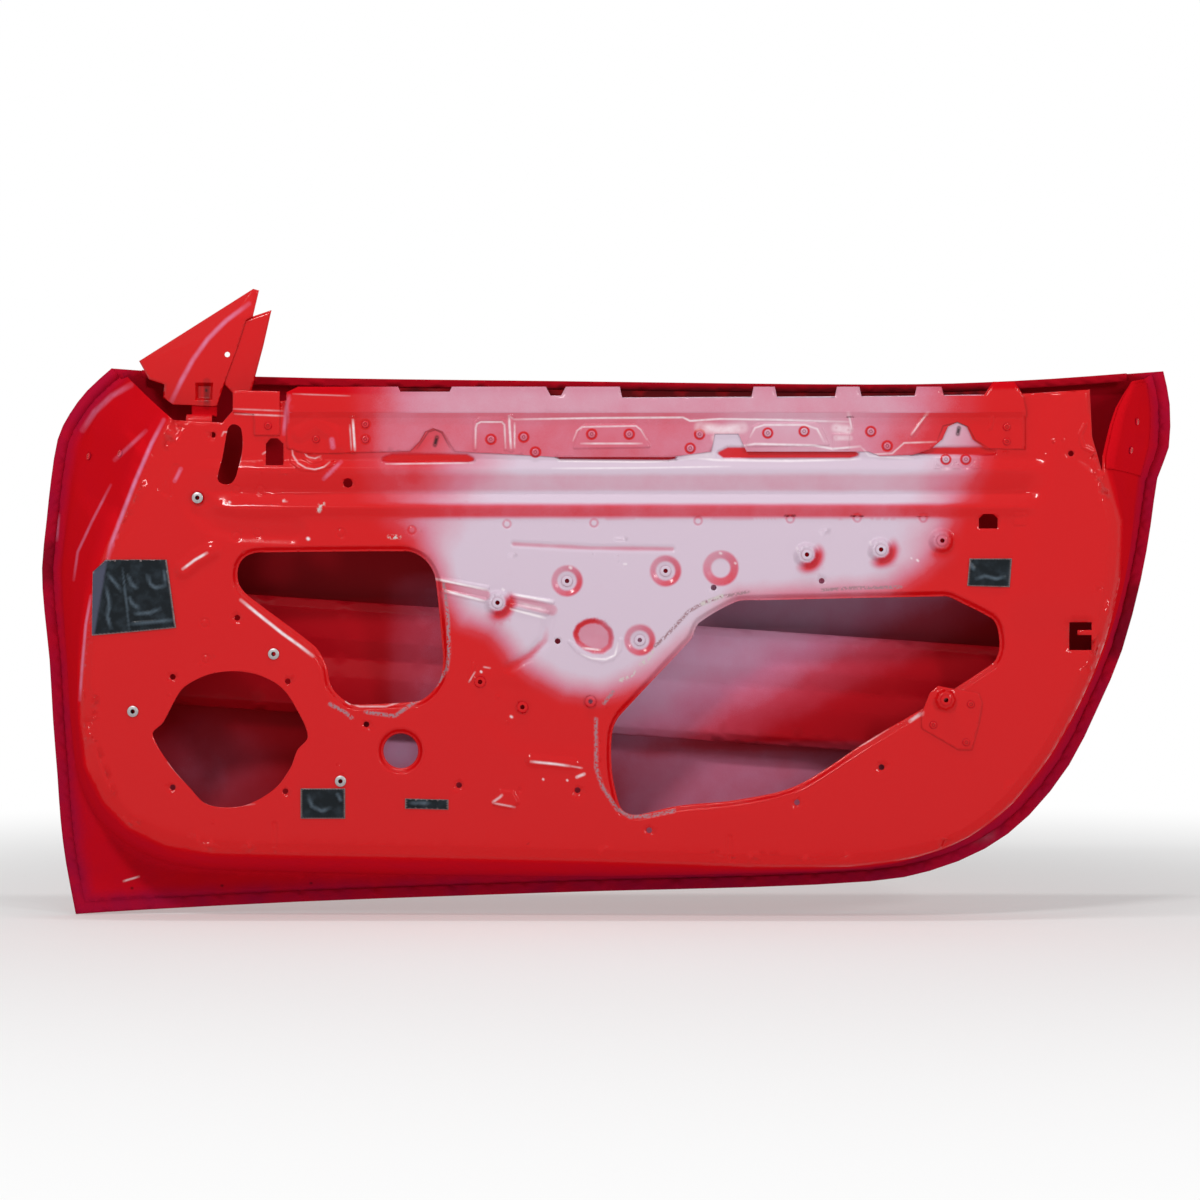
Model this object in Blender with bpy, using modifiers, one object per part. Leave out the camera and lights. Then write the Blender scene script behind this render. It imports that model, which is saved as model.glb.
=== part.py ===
"""Shell of a two-door car's door, seen from its inner side.

The inner side faces -Y, the hinge end is at -X and +Z is up. The origin lies on the
lower hinge face. Everything is modelled in a door frame whose X and Z start at the
lower front corner and whose Y is the depth behind the main inner face. The parent
empty then moves that frame so that the hinge face is at the origin.
"""

import math

import bmesh
import bpy
import numpy
from mathutils import Vector
from mathutils.bvhtree import BVHTree
from mathutils.geometry import delaunay_2d_cdt

for item in list(bpy.data.objects):
    bpy.data.objects.remove(item)

# Overall sizes of the door
DOOR_LENGTH = 1.325
DOOR_HEIGHT = 0.630
SKIN_DEPTH_FOOT = 0.100
SKIN_DEPTH_CREASE = 0.150
SKIN_DEPTH_BELT = 0.108
SKIN_END_CURVE = 0.020
CREASE_FRONT_SHARE = 0.62
CREASE_CLIMB_SHARE = 0.20
FULLNESS_BELOW_POWER = 1.8
FULLNESS_ABOVE_POWER = 1.3
END_CURVE_POWER = 4
FULLNESS_LIMIT_SHARE = 2

# Sheets and how they are stacked in the hem
PANEL_THICKNESS = 0.0012
SKIN_THICKNESS = 0.0008
SHEET_GAP = 0.0004
HEM_WIDTH = 0.012
HEM_EDGE_GAP = 0.0014
FLANGE_WIDTH = 0.0135
JOGGLE_WIDTH = 0.0030
JOGGLE_RISE = 0.0030
LEDGE_RISE = 0.0070
CORNER_DROP = 0.0030
CORNER_WIDTH = 0.0100
BELT_LIP_WIDTH = 0.010
BELT_LIP_DROP = 0.009
BELT_LIP_END_GAP = 0.012

# Outlines as shares of the door's length and height, from the top front round to the top rear
HEM_SHARES = (
    (0.067, 1.005), (0.045, 0.964), (0.029, 0.921), (0.018, 0.875), (0.011, 0.801), (0.006, 0.726),
    (0.001, 0.637), (0.003, 0.559), (0.008, 0.467), (0.012, 0.355), (0.017, 0.253), (0.021, 0.170),
    (0.027, 0.092), (0.037, 0.001), (0.099, 0.008), (0.231, 0.021), (0.363, 0.031), (0.495, 0.040),
    (0.627, 0.047), (0.733, 0.058), (0.785, 0.077), (0.834, 0.118), (0.873, 0.179), (0.909, 0.272),
    (0.935, 0.378), (0.957, 0.485), (0.974, 0.615), (0.983, 0.717), (0.989, 0.805), (0.998, 0.862),
    (0.996, 0.940), (0.988, 0.999),
)
FOOT_SHARES = (
    (0.081, 0.989), (0.058, 0.948), (0.044, 0.902), (0.034, 0.855), (0.028, 0.785), (0.023, 0.715),
    (0.018, 0.635), (0.020, 0.558), (0.024, 0.466), (0.028, 0.356), (0.034, 0.267), (0.046, 0.197),
    (0.066, 0.149), (0.100, 0.104), (0.144, 0.082), (0.232, 0.075), (0.364, 0.069), (0.495, 0.067),
    (0.627, 0.073), (0.727, 0.082), (0.778, 0.106), (0.822, 0.147), (0.860, 0.208), (0.894, 0.297),
    (0.920, 0.393), (0.942, 0.495), (0.959, 0.615), (0.967, 0.717), (0.972, 0.800), (0.979, 0.862),
    (0.978, 0.932), (0.972, 0.985),
)
CORNER_SHARES = (
    (0.131, 0.901), (0.123, 0.873), (0.114, 0.833), (0.105, 0.790), (0.093, 0.736), (0.079, 0.677),
    (0.068, 0.614), (0.060, 0.542), (0.055, 0.461), (0.055, 0.362), (0.060, 0.281), (0.074, 0.219),
    (0.095, 0.174), (0.125, 0.143), (0.163, 0.129), (0.240, 0.125), (0.367, 0.120), (0.495, 0.114),
    (0.623, 0.105), (0.708, 0.105), (0.763, 0.120), (0.806, 0.152), (0.844, 0.213), (0.876, 0.299),
    (0.902, 0.398), (0.921, 0.497), (0.933, 0.614), (0.935, 0.717), (0.923, 0.806), (0.927, 0.862),
    (0.938, 0.925), (0.955, 0.975),
)
HEM_SHARP_POINT = 13
LAST_FACE_STATION = 28
STATION_STEPS = 2
# How far along the wall, and how much of its rise, the wall's rows lie
WALL_ROW_SHARES = ((0.10, 0.20), (0.45, 0.62), (0.80, 0.95))
BELT_SHARES = (
    (0.067, 1.005), (0.188, 0.990), (0.460, 0.982), (0.732, 0.976), (0.860, 0.982), (0.988, 0.999),
)
FACE_TOP_SHARES = (
    (0.914, 0.870), (0.912, 0.955), (0.857, 0.948), (0.751, 0.944), (0.495, 0.941), (0.231, 0.937),
    (0.185, 0.925), (0.173, 0.896), (0.141, 0.899),
)

# How far the wall's top edge has fallen back at the rear corner
EAR_FALL_SHARE = 0.55

# Stretches of wall, in stations, that carry the hinges and the latch
HINGE_UPPER_STATIONS = (2, 4)
HINGE_LOWER_STATIONS = (9, 10)
LATCH_STATIONS = (25, 27)

# Pressed rows under the belt: height share, then share of the swage depth
SWAGE_DEPTH = 0.007
SWAGE_SHARES = (
    (0.727, 0.0), (0.744, -0.6), (0.772, 1.0), (0.803, 0.0), (0.813, -0.15), (0.830, 0.55),
    (0.960, 0.55),
)
SWAGE_FRONT_SHARES = (0.130, 0.215)
SWAGE_REAR_TOP_SHARES = (0.894, 0.921)
SWAGE_REAR_FOOT_SHARES = (0.857, 0.596)
SWAGE_REAR_RAMP = 0.030
REAR_RAISE = 0.004
REAR_RAISE_RAMP = 0.060

# Openings in the inner face
OPENING_LIP_WIDTH = 0.007
OPENING_LIP_DEPTH = 0.006
FRONT_OPENING_SHARES = (
    (0.207, 0.664), (0.329, 0.666), (0.346, 0.650), (0.355, 0.614), (0.361, 0.488), (0.360, 0.443),
    (0.352, 0.413), (0.338, 0.395), (0.286, 0.389), (0.274, 0.402), (0.265, 0.425), (0.261, 0.461),
    (0.250, 0.497), (0.197, 0.581), (0.187, 0.605), (0.186, 0.635), (0.193, 0.657),
)
REAR_OPENING_SHARES = (
    (0.610, 0.574), (0.631, 0.578), (0.789, 0.585), (0.803, 0.574), (0.829, 0.546), (0.835, 0.524),
    (0.836, 0.488), (0.829, 0.461), (0.776, 0.389), (0.725, 0.326), (0.665, 0.246), (0.614, 0.219),
    (0.563, 0.208), (0.529, 0.192), (0.516, 0.197), (0.510, 0.219), (0.505, 0.272), (0.505, 0.335),
    (0.512, 0.371), (0.572, 0.506), (0.580, 0.538),
)
SPEAKER_SHARES = (
    (0.114, 0.335), (0.123, 0.359), (0.137, 0.413), (0.150, 0.434), (0.167, 0.447), (0.187, 0.450),
    (0.207, 0.441), (0.224, 0.420), (0.236, 0.384), (0.246, 0.335), (0.237, 0.308), (0.231, 0.276),
    (0.218, 0.240), (0.197, 0.213), (0.178, 0.206), (0.159, 0.213), (0.146, 0.240), (0.129, 0.281),
)
LATCH_NOTCH_SHARES = (
    (0.895, 0.538), (0.914, 0.538), (0.914, 0.524), (0.902, 0.524), (0.902, 0.515), (0.914, 0.515),
    (0.914, 0.488), (0.895, 0.488),
)
FRONT_SLOT_SHARES = (
    (0.183, 0.893), (0.189, 0.884), (0.190, 0.850), (0.186, 0.808), (0.181, 0.788), (0.173, 0.786),
    (0.169, 0.796), (0.173, 0.832), (0.176, 0.868), (0.178, 0.886),
)
REAR_SLOT_SHARES = (
    (0.210, 0.819), (0.210, 0.858), (0.214, 0.868), (0.220, 0.868), (0.225, 0.858), (0.225, 0.819),
)
SQUARE_HOLE_SHARES = (
    (0.818, 0.706), (0.818, 0.724), (0.822, 0.732), (0.830, 0.732), (0.834, 0.724), (0.834, 0.706),
)
ROUND_HOLE_SHARES = (0.325, 0.307)
ROUND_HOLE_RADIUS = 0.020
CLIP_HOLE_SHARES = (0.280, 0.788)
CLIP_HOLE_RADIUS = 0.0055
SMALL_HOLE_RADIUS = 0.0034
SMALL_HOLE_SHARES = (
    (0.131, 0.440), (0.229, 0.432), (0.131, 0.242), (0.227, 0.235), (0.375, 0.246), (0.476, 0.237),
    (0.459, 0.504), (0.592, 0.600), (0.684, 0.612), (0.735, 0.278), (0.663, 0.215), (0.186, 0.546),
    (0.296, 0.355), (0.537, 0.165), (0.165, 0.874), (0.896, 0.840),
)

# Rivet nuts and the seats pressed for them
NUT_SIDES = 8
NUT_FLANGE_RADIUS = 0.0062
NUT_FLANGE_HEIGHT = 0.0010
NUT_BARREL_RADIUS = 0.0042
NUT_BARREL_LENGTH = 0.0120
NUT_BORE_RADIUS = 0.0026
SEAT_FLAT_RADIUS = 0.0085
FLAT_SEAT_RADIUS = 0.0130
DISH_RADIUS = 0.0175
DISH_DEPTH = 0.0025
BOSS_RADIUS = 0.0150
BOSS_HEIGHT = 0.0075
# Place, outer radius of the pressed seat, and its depth behind the face
NUT_SEATS = (
    ((0.152, 0.761), FLAT_SEAT_RADIUS, 0),
    ((0.217, 0.481), FLAT_SEAT_RADIUS, 0),
    ((0.097, 0.378), FLAT_SEAT_RADIUS, 0),
    ((0.274, 0.253), FLAT_SEAT_RADIUS, 0),
    ((0.408, 0.573), BOSS_RADIUS, -BOSS_HEIGHT),
    ((0.467, 0.612), DISH_RADIUS, DISH_DEPTH),
    ((0.551, 0.630), DISH_RADIUS, DISH_DEPTH),
    ((0.529, 0.506), DISH_RADIUS, DISH_DEPTH),
    ((0.393, 0.431), FLAT_SEAT_RADIUS, 0),
    ((0.429, 0.386), FLAT_SEAT_RADIUS, 0),
    ((0.487, 0.396), FLAT_SEAT_RADIUS, 0),
    ((0.671, 0.659), BOSS_RADIUS, -BOSS_HEIGHT),
    ((0.734, 0.668), BOSS_RADIUS, -BOSS_HEIGHT),
    ((0.786, 0.684), BOSS_RADIUS, -BOSS_HEIGHT),
)
BLANK_DISH_SHARES = (0.598, 0.635)
BLANK_DISH_RADIUS = 0.0200

# Blind rivets
RIVET_SIDES = 8
RIVET_HEAD_RADIUS = 0.0042
RIVET_HEAD_HEIGHT = 0.0016
RIVET_SHANK_RADIUS = 0.0018
RIVET_TAIL_RADIUS = 0.0027
RIVET_TAIL_LENGTH = 0.0030
RIVET_HOLE_RADIUS = RIVET_SHANK_RADIUS + SHEET_GAP
RIVET_CROWN_SHARE = 0.55
RIVET_EDGE_SHARE = 0.35
RIVET_FLARE_SHARE = 0.30
BELT_RIVET_SHARES = (
    (0.253, 0.866), (0.295, 0.893), (0.295, 0.866), (0.402, 0.866), (0.430, 0.870), (0.440, 0.843),
    (0.488, 0.875), (0.520, 0.875), (0.580, 0.875), (0.572, 0.850), (0.638, 0.877), (0.669, 0.880),
    (0.726, 0.880), (0.740, 0.854), (0.842, 0.888), (0.842, 0.862),
)
PANEL_RIVET_SHARES = ((0.790, 0.830), (0.807, 0.830))
FRONT_BRACKET_RIVET_SHARES = (0.212, 0.890)
HANDLE_RIVET_SHARES = ((0.811, 0.391), (0.779, 0.354), (0.807, 0.323))

# Belt reinforcement over the inner panel's top edge
REINFORCEMENT_RAISE = 0.0035
REINFORCEMENT_STEP_SHARES = (0.905, 0.915)
REINFORCEMENT_SHARES = (
    (0.228, 0.850), (0.228, 0.950), (0.238, 0.960), (0.323, 0.960), (0.325, 0.951), (0.367, 0.951),
    (0.369, 0.960), (0.449, 0.960), (0.453, 0.944), (0.462, 0.944), (0.466, 0.960), (0.512, 0.960),
    (0.514, 0.940), (0.624, 0.940), (0.626, 0.960), (0.644, 0.960), (0.646, 0.940), (0.695, 0.940),
    (0.697, 0.960), (0.716, 0.960), (0.718, 0.942), (0.763, 0.942), (0.765, 0.960), (0.786, 0.960),
    (0.788, 0.944), (0.822, 0.944), (0.830, 0.969), (0.848, 0.969), (0.855, 0.947), (0.858, 0.916),
    (0.858, 0.848), (0.824, 0.850), (0.813, 0.866), (0.808, 0.889), (0.800, 0.897), (0.792, 0.889),
    (0.787, 0.866), (0.777, 0.848), (0.762, 0.838), (0.734, 0.836), (0.724, 0.844), (0.633, 0.844),
    (0.620, 0.844), (0.613, 0.876), (0.593, 0.876), (0.590, 0.844), (0.562, 0.836), (0.556, 0.834),
    (0.458, 0.834), (0.428, 0.838), (0.371, 0.844), (0.365, 0.866), (0.361, 0.880), (0.353, 0.886),
    (0.346, 0.880), (0.341, 0.862), (0.333, 0.845), (0.300, 0.843), (0.244, 0.840),
)

# Front belt bracket, handle bracket and tape
FRONT_BRACKET_SHARES = (
    (0.200, 0.873), (0.200, 0.911), (0.182, 0.915), (0.182, 0.954), (0.222, 0.952), (0.222, 0.873),
)
HANDLE_BRACKET_SHARES = (
    (0.769, 0.348), (0.769, 0.374), (0.776, 0.411), (0.783, 0.424), (0.798, 0.418), (0.818, 0.411),
    (0.821, 0.393), (0.818, 0.357), (0.812, 0.309), (0.801, 0.309),
)
HANDLE_NUT_SHARES = (0.789, 0.399)
HANDLE_CONE_HEIGHT = 0.0080
HANDLE_CONE_RADIUS = 0.0130
TAPE_THICKNESS = 0.0003
TAPE_GUIDE_STATIONS = (4, 9)
HINGE_TAPE_SHARES = (
    (0.062, 0.628), (0.074, 0.650), (0.126, 0.650), (0.134, 0.528), (0.095, 0.520), (0.062, 0.514),
)
LOWER_TAPE_SHARES = ((0.240, 0.186), (0.240, 0.240), (0.278, 0.240), (0.278, 0.186))
SLOT_TAPE_SHARES = ((0.329, 0.204), (0.329, 0.222), (0.366, 0.220), (0.366, 0.202))
REAR_TAPE_SHARES = ((0.808, 0.603), (0.810, 0.652), (0.846, 0.652), (0.844, 0.601))

# Mirror corner
SAIL_DEPTH = 0.045
SAIL_SWEEP_SHARE = 0.35
SAIL_POCKET_DEPTH = 0.006
SAIL_POCKET_RAMP = 0.003
SAIL_HOLE_RADIUS = 0.0032
SAIL_HOLE_SHARES = (0.173, 1.024)
SAIL_CREASE_SHARES = ((0.110, 0.860), (0.128, 0.944), (0.146, 1.022), (0.166, 1.072), (0.205, 1.130))
SAIL_FRONT_SHARES = (
    (0.094, 1.015), (0.195, 1.144), (0.200, 1.141), (0.195, 1.093), (0.189, 1.086), (0.182, 1.039),
    (0.172, 0.982), (0.164, 0.930), (0.126, 0.933), (0.117, 0.946), (0.118, 0.970), (0.104, 0.980),
)
SAIL_POCKET_SHARES = ((0.145, 0.940), (0.145, 0.973), (0.161, 0.973), (0.160, 0.940))
SAIL_REAR_SHARES = (
    (0.211, 1.105), (0.204, 1.040), (0.193, 0.953), (0.178, 0.953), (0.168, 0.975), (0.172, 1.000),
    (0.178, 1.055), (0.185, 1.085), (0.190, 1.090),
)
SAIL_FOOT_ACROSS_SHARES = (0.142, 0.164)
SAIL_FOOT_LOW_SHARE = 0.866
SAIL_FOOT_SHELF_SHARE = 0.910
SAIL_FOOT_TOP_SHARE = 0.936
SAIL_FOOT_BEND = 0.004

# Outer handle's aperture and lock hole in the skin
HANDLE_APERTURE_SHARES = ((0.800, 0.775), (0.880, 0.785))
HANDLE_APERTURE_RADIUS = 0.014
LOCK_HOLE_SHARES = (0.917, 0.790)
LOCK_HOLE_RADIUS = 0.011
ROUND_SIDES = 14

# Rail under the skin's belt lip
RAIL_SHARES = (0.215, 0.880)
RAIL_THICKNESS = 0.0010
RAIL_WEB_HEIGHT = 0.030
RAIL_FOOT_HEIGHT = 0.012
RAIL_TOP_GAP = 0.0030

# Side beam inside the door, with its ends on the walls
BEAM_THICKNESS = 0.0016
BEAM_STANDOFF = 0.046
BEAM_FRONT_FLANGE_SHARES = (0.40, 0.14)
BEAM_REAR_FLANGE_SHARES = (0.14, 0.40)
BEAM_REACH = 0.030
BEAM_FRONT_STATIONS = (7.0, 8.5)
BEAM_REAR_STATIONS = (24.5, 23.0)
BEAM_TOP_SHARES = ((0.100, 0.600), (0.900, 0.482))
BEAM_FOOT_SHARES = ((0.100, 0.389), (0.900, 0.274))
BEAM_EDGE_DEPTH = 0.010
BEAM_ROWS = ((0.0, 1.0), (0.08, 0.0), (1 / 3, 0.0), (0.50, 0.5), (2 / 3, 0.0), (0.92, 0.0), (1.0, 1.0))
BEAM_COLUMNS = 7
SEAT_GAP = 0.0006

# Plates fixed to the walls
PLATE_THICKNESS = 0.0020
PLATE_MARGIN_SHARE = 0.25
EAR_STATIONS = (28, 31)
# Rivets on the walls: station, then share from the foot to the face
EAR_RIVET_PLACES = ((29.6, 0.45), (28.8, 0.50))
HINGE_RIVET_PLACES = ((2.4, 0.62), (3.0, 0.22))

# Spacing of the points inside each sheet
PANEL_GRID = 0.045
SKIN_GRID = 0.085
SMALL_GRID = 0.030
WELD_DISTANCE = 0.00001
CUTTER_LENGTH = 0.010

# How close to a run, as a share of the spacing, a point inside a sheet may lie
GRID_CLEARANCE_SHARE = 0.4

# Steps in the runs that sheets lying on each other share
ROW_STEPS = 40
PANEL_ROW_COLUMNS = (6, 37)
REINFORCEMENT_ROW_COLUMNS = (9, 36)
REAR_LINE_STEPS = 8
CREASE_STEPS = 16
BELT_STEPS = 4
SAIL_CREASE_STEPS = 3
SAIL_FOOT_STEPS = 4

# Rows of the wall, counted from the hem, that carry its foot, the pads and the rear corner
FOOT_ROW = 3
PAD_ROWS = (4, 6)
EAR_ROWS = (3, 7)

# How far to each side the wall is sampled for its direction, in stations and shares
NORMAL_STEP_SHARE = 0.05

# Where the origin lies on the lower hinge face, as station and share along the wall
ORIGIN_STATION = 9.45
ORIGIN_ALONG_SHARE = 0.42


def material(name, colour, roughness, metallic):
    made = bpy.data.materials.new(name)
    made.use_nodes = True
    made.diffuse_color = (*colour, 1)
    shader = made.node_tree.nodes["Principled BSDF"]
    shader.inputs["Base Color"].default_value = (*colour, 1)
    shader.inputs["Roughness"].default_value = roughness
    shader.inputs["Metallic"].default_value = metallic
    return made


red_paint = material("red_paint", (0.62, 0.012, 0.015), 0.25, 0.0)
pale_primer = material("pale_primer", (0.66, 0.45, 0.43), 0.50, 0.0)
black_tape = material("black_tape", (0.020, 0.024, 0.028), 0.35, 0.0)
bare_steel = material("bare_steel", (0.55, 0.53, 0.50), 0.35, 1.0)

door = bpy.data.collections.new("car_door_shell")
cutters = bpy.data.collections.new("cutters")
bpy.context.scene.collection.children.link(door)
bpy.context.scene.collection.children.link(cutters)
frame_empty = bpy.data.objects.new("door_frame", None)
door.objects.link(frame_empty)


def place(shares):
    """Point of the door's X and Z plane from a pair of shares."""
    return Vector((shares[0] * DOOR_LENGTH, shares[1] * DOOR_HEIGHT))


def placed(table):
    return [place(shares) for shares in table]


def smooth_run(points, steps, sharp=()):
    """Catmull-Rom run through the points, with sharp turns kept at the named points."""
    run = []
    for number in range(len(points) - 1):
        start, end = points[number], points[number + 1]
        before = points[number - 1] if number > 0 and number not in sharp else 2 * start - end
        last = number + 2 >= len(points) or number + 1 in sharp
        after = 2 * end - start if last else points[number + 2]
        for step in range(steps):
            t = step / steps
            bend = 2 * before - 5 * start + 4 * end - after
            twist = 3 * start - before - 3 * end + after
            run.append((2 * start + (end - before) * t + bend * t**2 + twist * t**3) / 2)
    run.append(points[-1].copy())
    return run


def inset(run, distance):
    """The open run moved to its left by a distance, with mitred turns."""
    moved = []
    for number, point in enumerate(run):
        normals = []
        for start, end in ((number - 1, number), (number, number + 1)):
            if start >= 0 and end < len(run):
                along = (run[end] - run[start]).normalized()
                normals.append(Vector((-along.y, along.x)))
        middle = sum(normals, Vector((0, 0))).normalized()
        moved.append(point + middle * distance / middle.dot(normals[0]))
    return moved


def ring(centre, radius, sides):
    """Closed loop of points round a centre."""
    turns = [2 * math.pi * number / sides for number in range(sides)]
    return [centre + radius * Vector((math.cos(turn), math.sin(turn))) for turn in turns]


def slot(start, end, radius):
    """Closed loop of a straight slot with round ends."""
    lean = math.atan2(end.y - start.y, end.x - start.x)
    loop = []
    for centre, first in ((end, lean - math.pi / 2), (start, lean + math.pi / 2)):
        for number in range(NUT_SIDES // 2 + 1):
            turn = first + math.pi * number / (NUT_SIDES // 2)
            loop.append(centre + radius * Vector((math.cos(turn), math.sin(turn))))
    return loop


def blend(low, high, value):
    """Smooth rise from 0 at low to 1 at high."""
    t = numpy.clip((value - low) / (high - low), 0, 1)
    return t * t * (3 - 2 * t)


def run_distance(points, run, closed):
    """Distance of each point to a run."""
    starts = numpy.array([tuple(p) for p in run])
    ends = numpy.roll(starts, -1, axis=0)
    if not closed:
        starts, ends = starts[:-1], ends[:-1]
    along = ends - starts
    away = points[:, None, :] - starts[None, :, :]
    share = (away * along).sum(2) / numpy.maximum((along * along).sum(1), WELD_DISTANCE**2)
    nearest = away - numpy.clip(share, 0, 1)[:, :, None] * along
    return numpy.sqrt((nearest**2).sum(2)).min(1)


def inside(points, loop):
    """Whether each point lies inside a closed loop."""
    starts = numpy.array([tuple(p) for p in loop])
    ends = numpy.roll(starts, -1, axis=0)
    x, z = points[:, 0][:, None], points[:, 1][:, None]
    spans = (starts[:, 1] > z) != (ends[:, 1] > z)
    rise = numpy.where(ends[:, 1] == starts[:, 1], 1, ends[:, 1] - starts[:, 1])
    crossing = starts[:, 0] + (z - starts[:, 1]) * (ends[:, 0] - starts[:, 0]) / rise
    return (spans & (x < crossing)).sum(1) % 2 == 1


def skin_depth(points):
    """Depth of the outer skin's middle: fullest at the crease, curved in towards the ends."""
    along = points[:, 0] / DOOR_LENGTH
    height = points[:, 1] / DOOR_HEIGHT
    crease = CREASE_FRONT_SHARE + CREASE_CLIMB_SHARE * along
    below = 1 - (1 - numpy.clip(height / crease, 0, 1)) ** FULLNESS_BELOW_POWER
    above = numpy.clip((height - crease) / (1 - crease), 0, FULLNESS_LIMIT_SHARE) ** FULLNESS_ABOVE_POWER
    lower = SKIN_DEPTH_FOOT + (SKIN_DEPTH_CREASE - SKIN_DEPTH_FOOT) * below
    ends = SKIN_END_CURVE * (2 * along - 1) ** END_CURVE_POWER
    return lower - (SKIN_DEPTH_CREASE - SKIN_DEPTH_BELT) * above - ends


def pressed_rows(points):
    """Swages and the belt zone, faded out at the front and behind a slanted line at the rear."""
    height = points[:, 1] / DOOR_HEIGHT
    rows = numpy.array(SWAGE_SHARES)
    depth = SWAGE_DEPTH * numpy.interp(height, rows[:, 0], rows[:, 1])
    front, front_end = SWAGE_FRONT_SHARES
    shown = blend(front * DOOR_LENGTH, front_end * DOOR_LENGTH, points[:, 0])
    top, foot = place(SWAGE_REAR_TOP_SHARES), place(SWAGE_REAR_FOOT_SHARES)
    line = foot.x + (points[:, 1] - foot.y) * (top.x - foot.x) / (top.y - foot.y)
    shown = shown * blend(0, SWAGE_REAR_RAMP, line - points[:, 0])
    raised = blend(0, SWAGE_REAR_RAMP, points[:, 0] - line + SWAGE_REAR_RAMP)
    raised = raised * blend(foot.y - REAR_RAISE_RAMP, foot.y, points[:, 1])
    return depth * shown - REAR_RAISE * raised


def relief(points):
    """Depth of the inner face's middle, with its swages, lips, seats and dishes."""
    depth = pressed_rows(points)
    for lipped in (front_opening, rear_opening, round_hole):
        away = run_distance(points, lipped, True)
        depth = depth + OPENING_LIP_DEPTH * (1 - blend(0, OPENING_LIP_WIDTH, away))
    for shares, radius, drop in NUT_SEATS:
        depth = seat(points, depth, place(shares), radius, drop)
    for shares in PANEL_RIVET_SHARES:
        depth = seat(points, depth, place(shares), FLAT_SEAT_RADIUS, 0)
    return seat(points, depth, place(BLANK_DISH_SHARES), BLANK_DISH_RADIUS, DISH_DEPTH)


def seat(points, depth, centre, radius, drop):
    """Blends a flat round seat into the given depths."""
    away = numpy.hypot(points[:, 0] - centre.x, points[:, 1] - centre.y)
    flat = pressed_rows(numpy.array([tuple(centre)]))[0] + drop
    kept = blend(SEAT_FLAT_RADIUS, radius, away)
    return depth * kept + flat * (1 - kept)


def depth_at(depth, centre):
    """One depth at one place."""
    return float(depth(numpy.array([tuple(centre)]))[0])


def sheet(outline, holes, guides, spacing, depth):
    """Open sheet inside an outline, with holes, that follows a depth and keeps guide runs."""
    corners, edges = [], []
    for run, closed in [(outline, True)] + [(hole, True) for hole in holes] + guides:
        first = len(corners)
        corners.extend(Vector(point) for point in run)
        edges.extend((number, number + 1) for number in range(first, len(corners) - 1))
        if closed:
            edges.append((len(corners) - 1, first))
    low = [min(point[axis] for point in outline) for axis in (0, 1)]
    high = [max(point[axis] for point in outline) for axis in (0, 1)]
    rows = numpy.arange(low[1], high[1], spacing * math.sqrt(3) / 2)
    grid = []
    for number, row in enumerate(rows):
        columns = numpy.arange(low[0] + spacing / 2 * (number % 2), high[0], spacing)
        grid.extend((column, row) for column in columns)
    grid = numpy.array(grid)
    free = inside(grid, outline)
    for run, closed in [(outline, True)] + [(hole, True) for hole in holes] + guides:
        free &= run_distance(grid, run, closed) > spacing * GRID_CLEARANCE_SHARE
    corners.extend(Vector(point) for point in grid[free])
    flat, _, faces, _, _, _ = delaunay_2d_cdt(corners, edges, [], 0, WELD_DISTANCE)
    points = numpy.array([tuple(point) for point in flat])
    middles = numpy.array([points[list(face)].mean(0) for face in faces])
    kept = inside(middles, outline)
    for hole in holes:
        kept &= ~inside(middles, hole)
    mesh = bmesh.new()
    verts = [mesh.verts.new((x, y, z)) for (x, z), y in zip(points, depth(points))]
    for face, keep in zip(faces, kept):
        if keep:
            mesh.faces.new([verts[number] for number in face])
    bmesh.ops.delete(mesh, geom=[v for v in mesh.verts if not v.link_faces], context="VERTS")
    return mesh


def add_rows(mesh, rows):
    """Adds a strip of faces through rows of points with equal counts."""
    verts = [[mesh.verts.new(point) for point in row] for row in rows]
    for low, high in zip(verts, verts[1:]):
        for number in range(len(low) - 1):
            mesh.faces.new((low[number], low[number + 1], high[number + 1], high[number]))


def face_inward(mesh):
    """Welds a sheet, splits it into triangles and turns its faces to the inner side."""
    bmesh.ops.remove_doubles(mesh, verts=mesh.verts[:], dist=WELD_DISTANCE)
    bmesh.ops.triangulate(mesh, faces=mesh.faces[:], quad_method="FIXED")
    bmesh.ops.recalc_face_normals(mesh, faces=mesh.faces[:])
    mesh.normal_update()
    if sum(face.normal.y * face.calc_area() for face in mesh.faces) > 0:
        bmesh.ops.reverse_faces(mesh, faces=mesh.faces[:])
    mesh.normal_update()


def lift(mesh, distance):
    """Moves a sheet towards the inner side along its own normals."""
    for vert in mesh.verts:
        vert.co += vert.normal * distance * vert.calc_shell_factor()


def node(name, data, finish):
    made = bpy.data.objects.new(name, data)
    if not data.materials:
        data.materials.append(finish)
    door.objects.link(made)
    made.parent = frame_empty
    return made


def sheet_node(name, mesh, thickness, finish):
    """Node whose sheet has its thickness on both sides of the given surface."""
    data = bpy.data.meshes.new(name)
    mesh.to_mesh(data)
    mesh.free()
    made = node(name, data, finish)
    solid = made.modifiers.new("thickness", "SOLIDIFY")
    solid.thickness = thickness
    solid.offset = 0
    solid.use_even_offset = True
    return made


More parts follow.
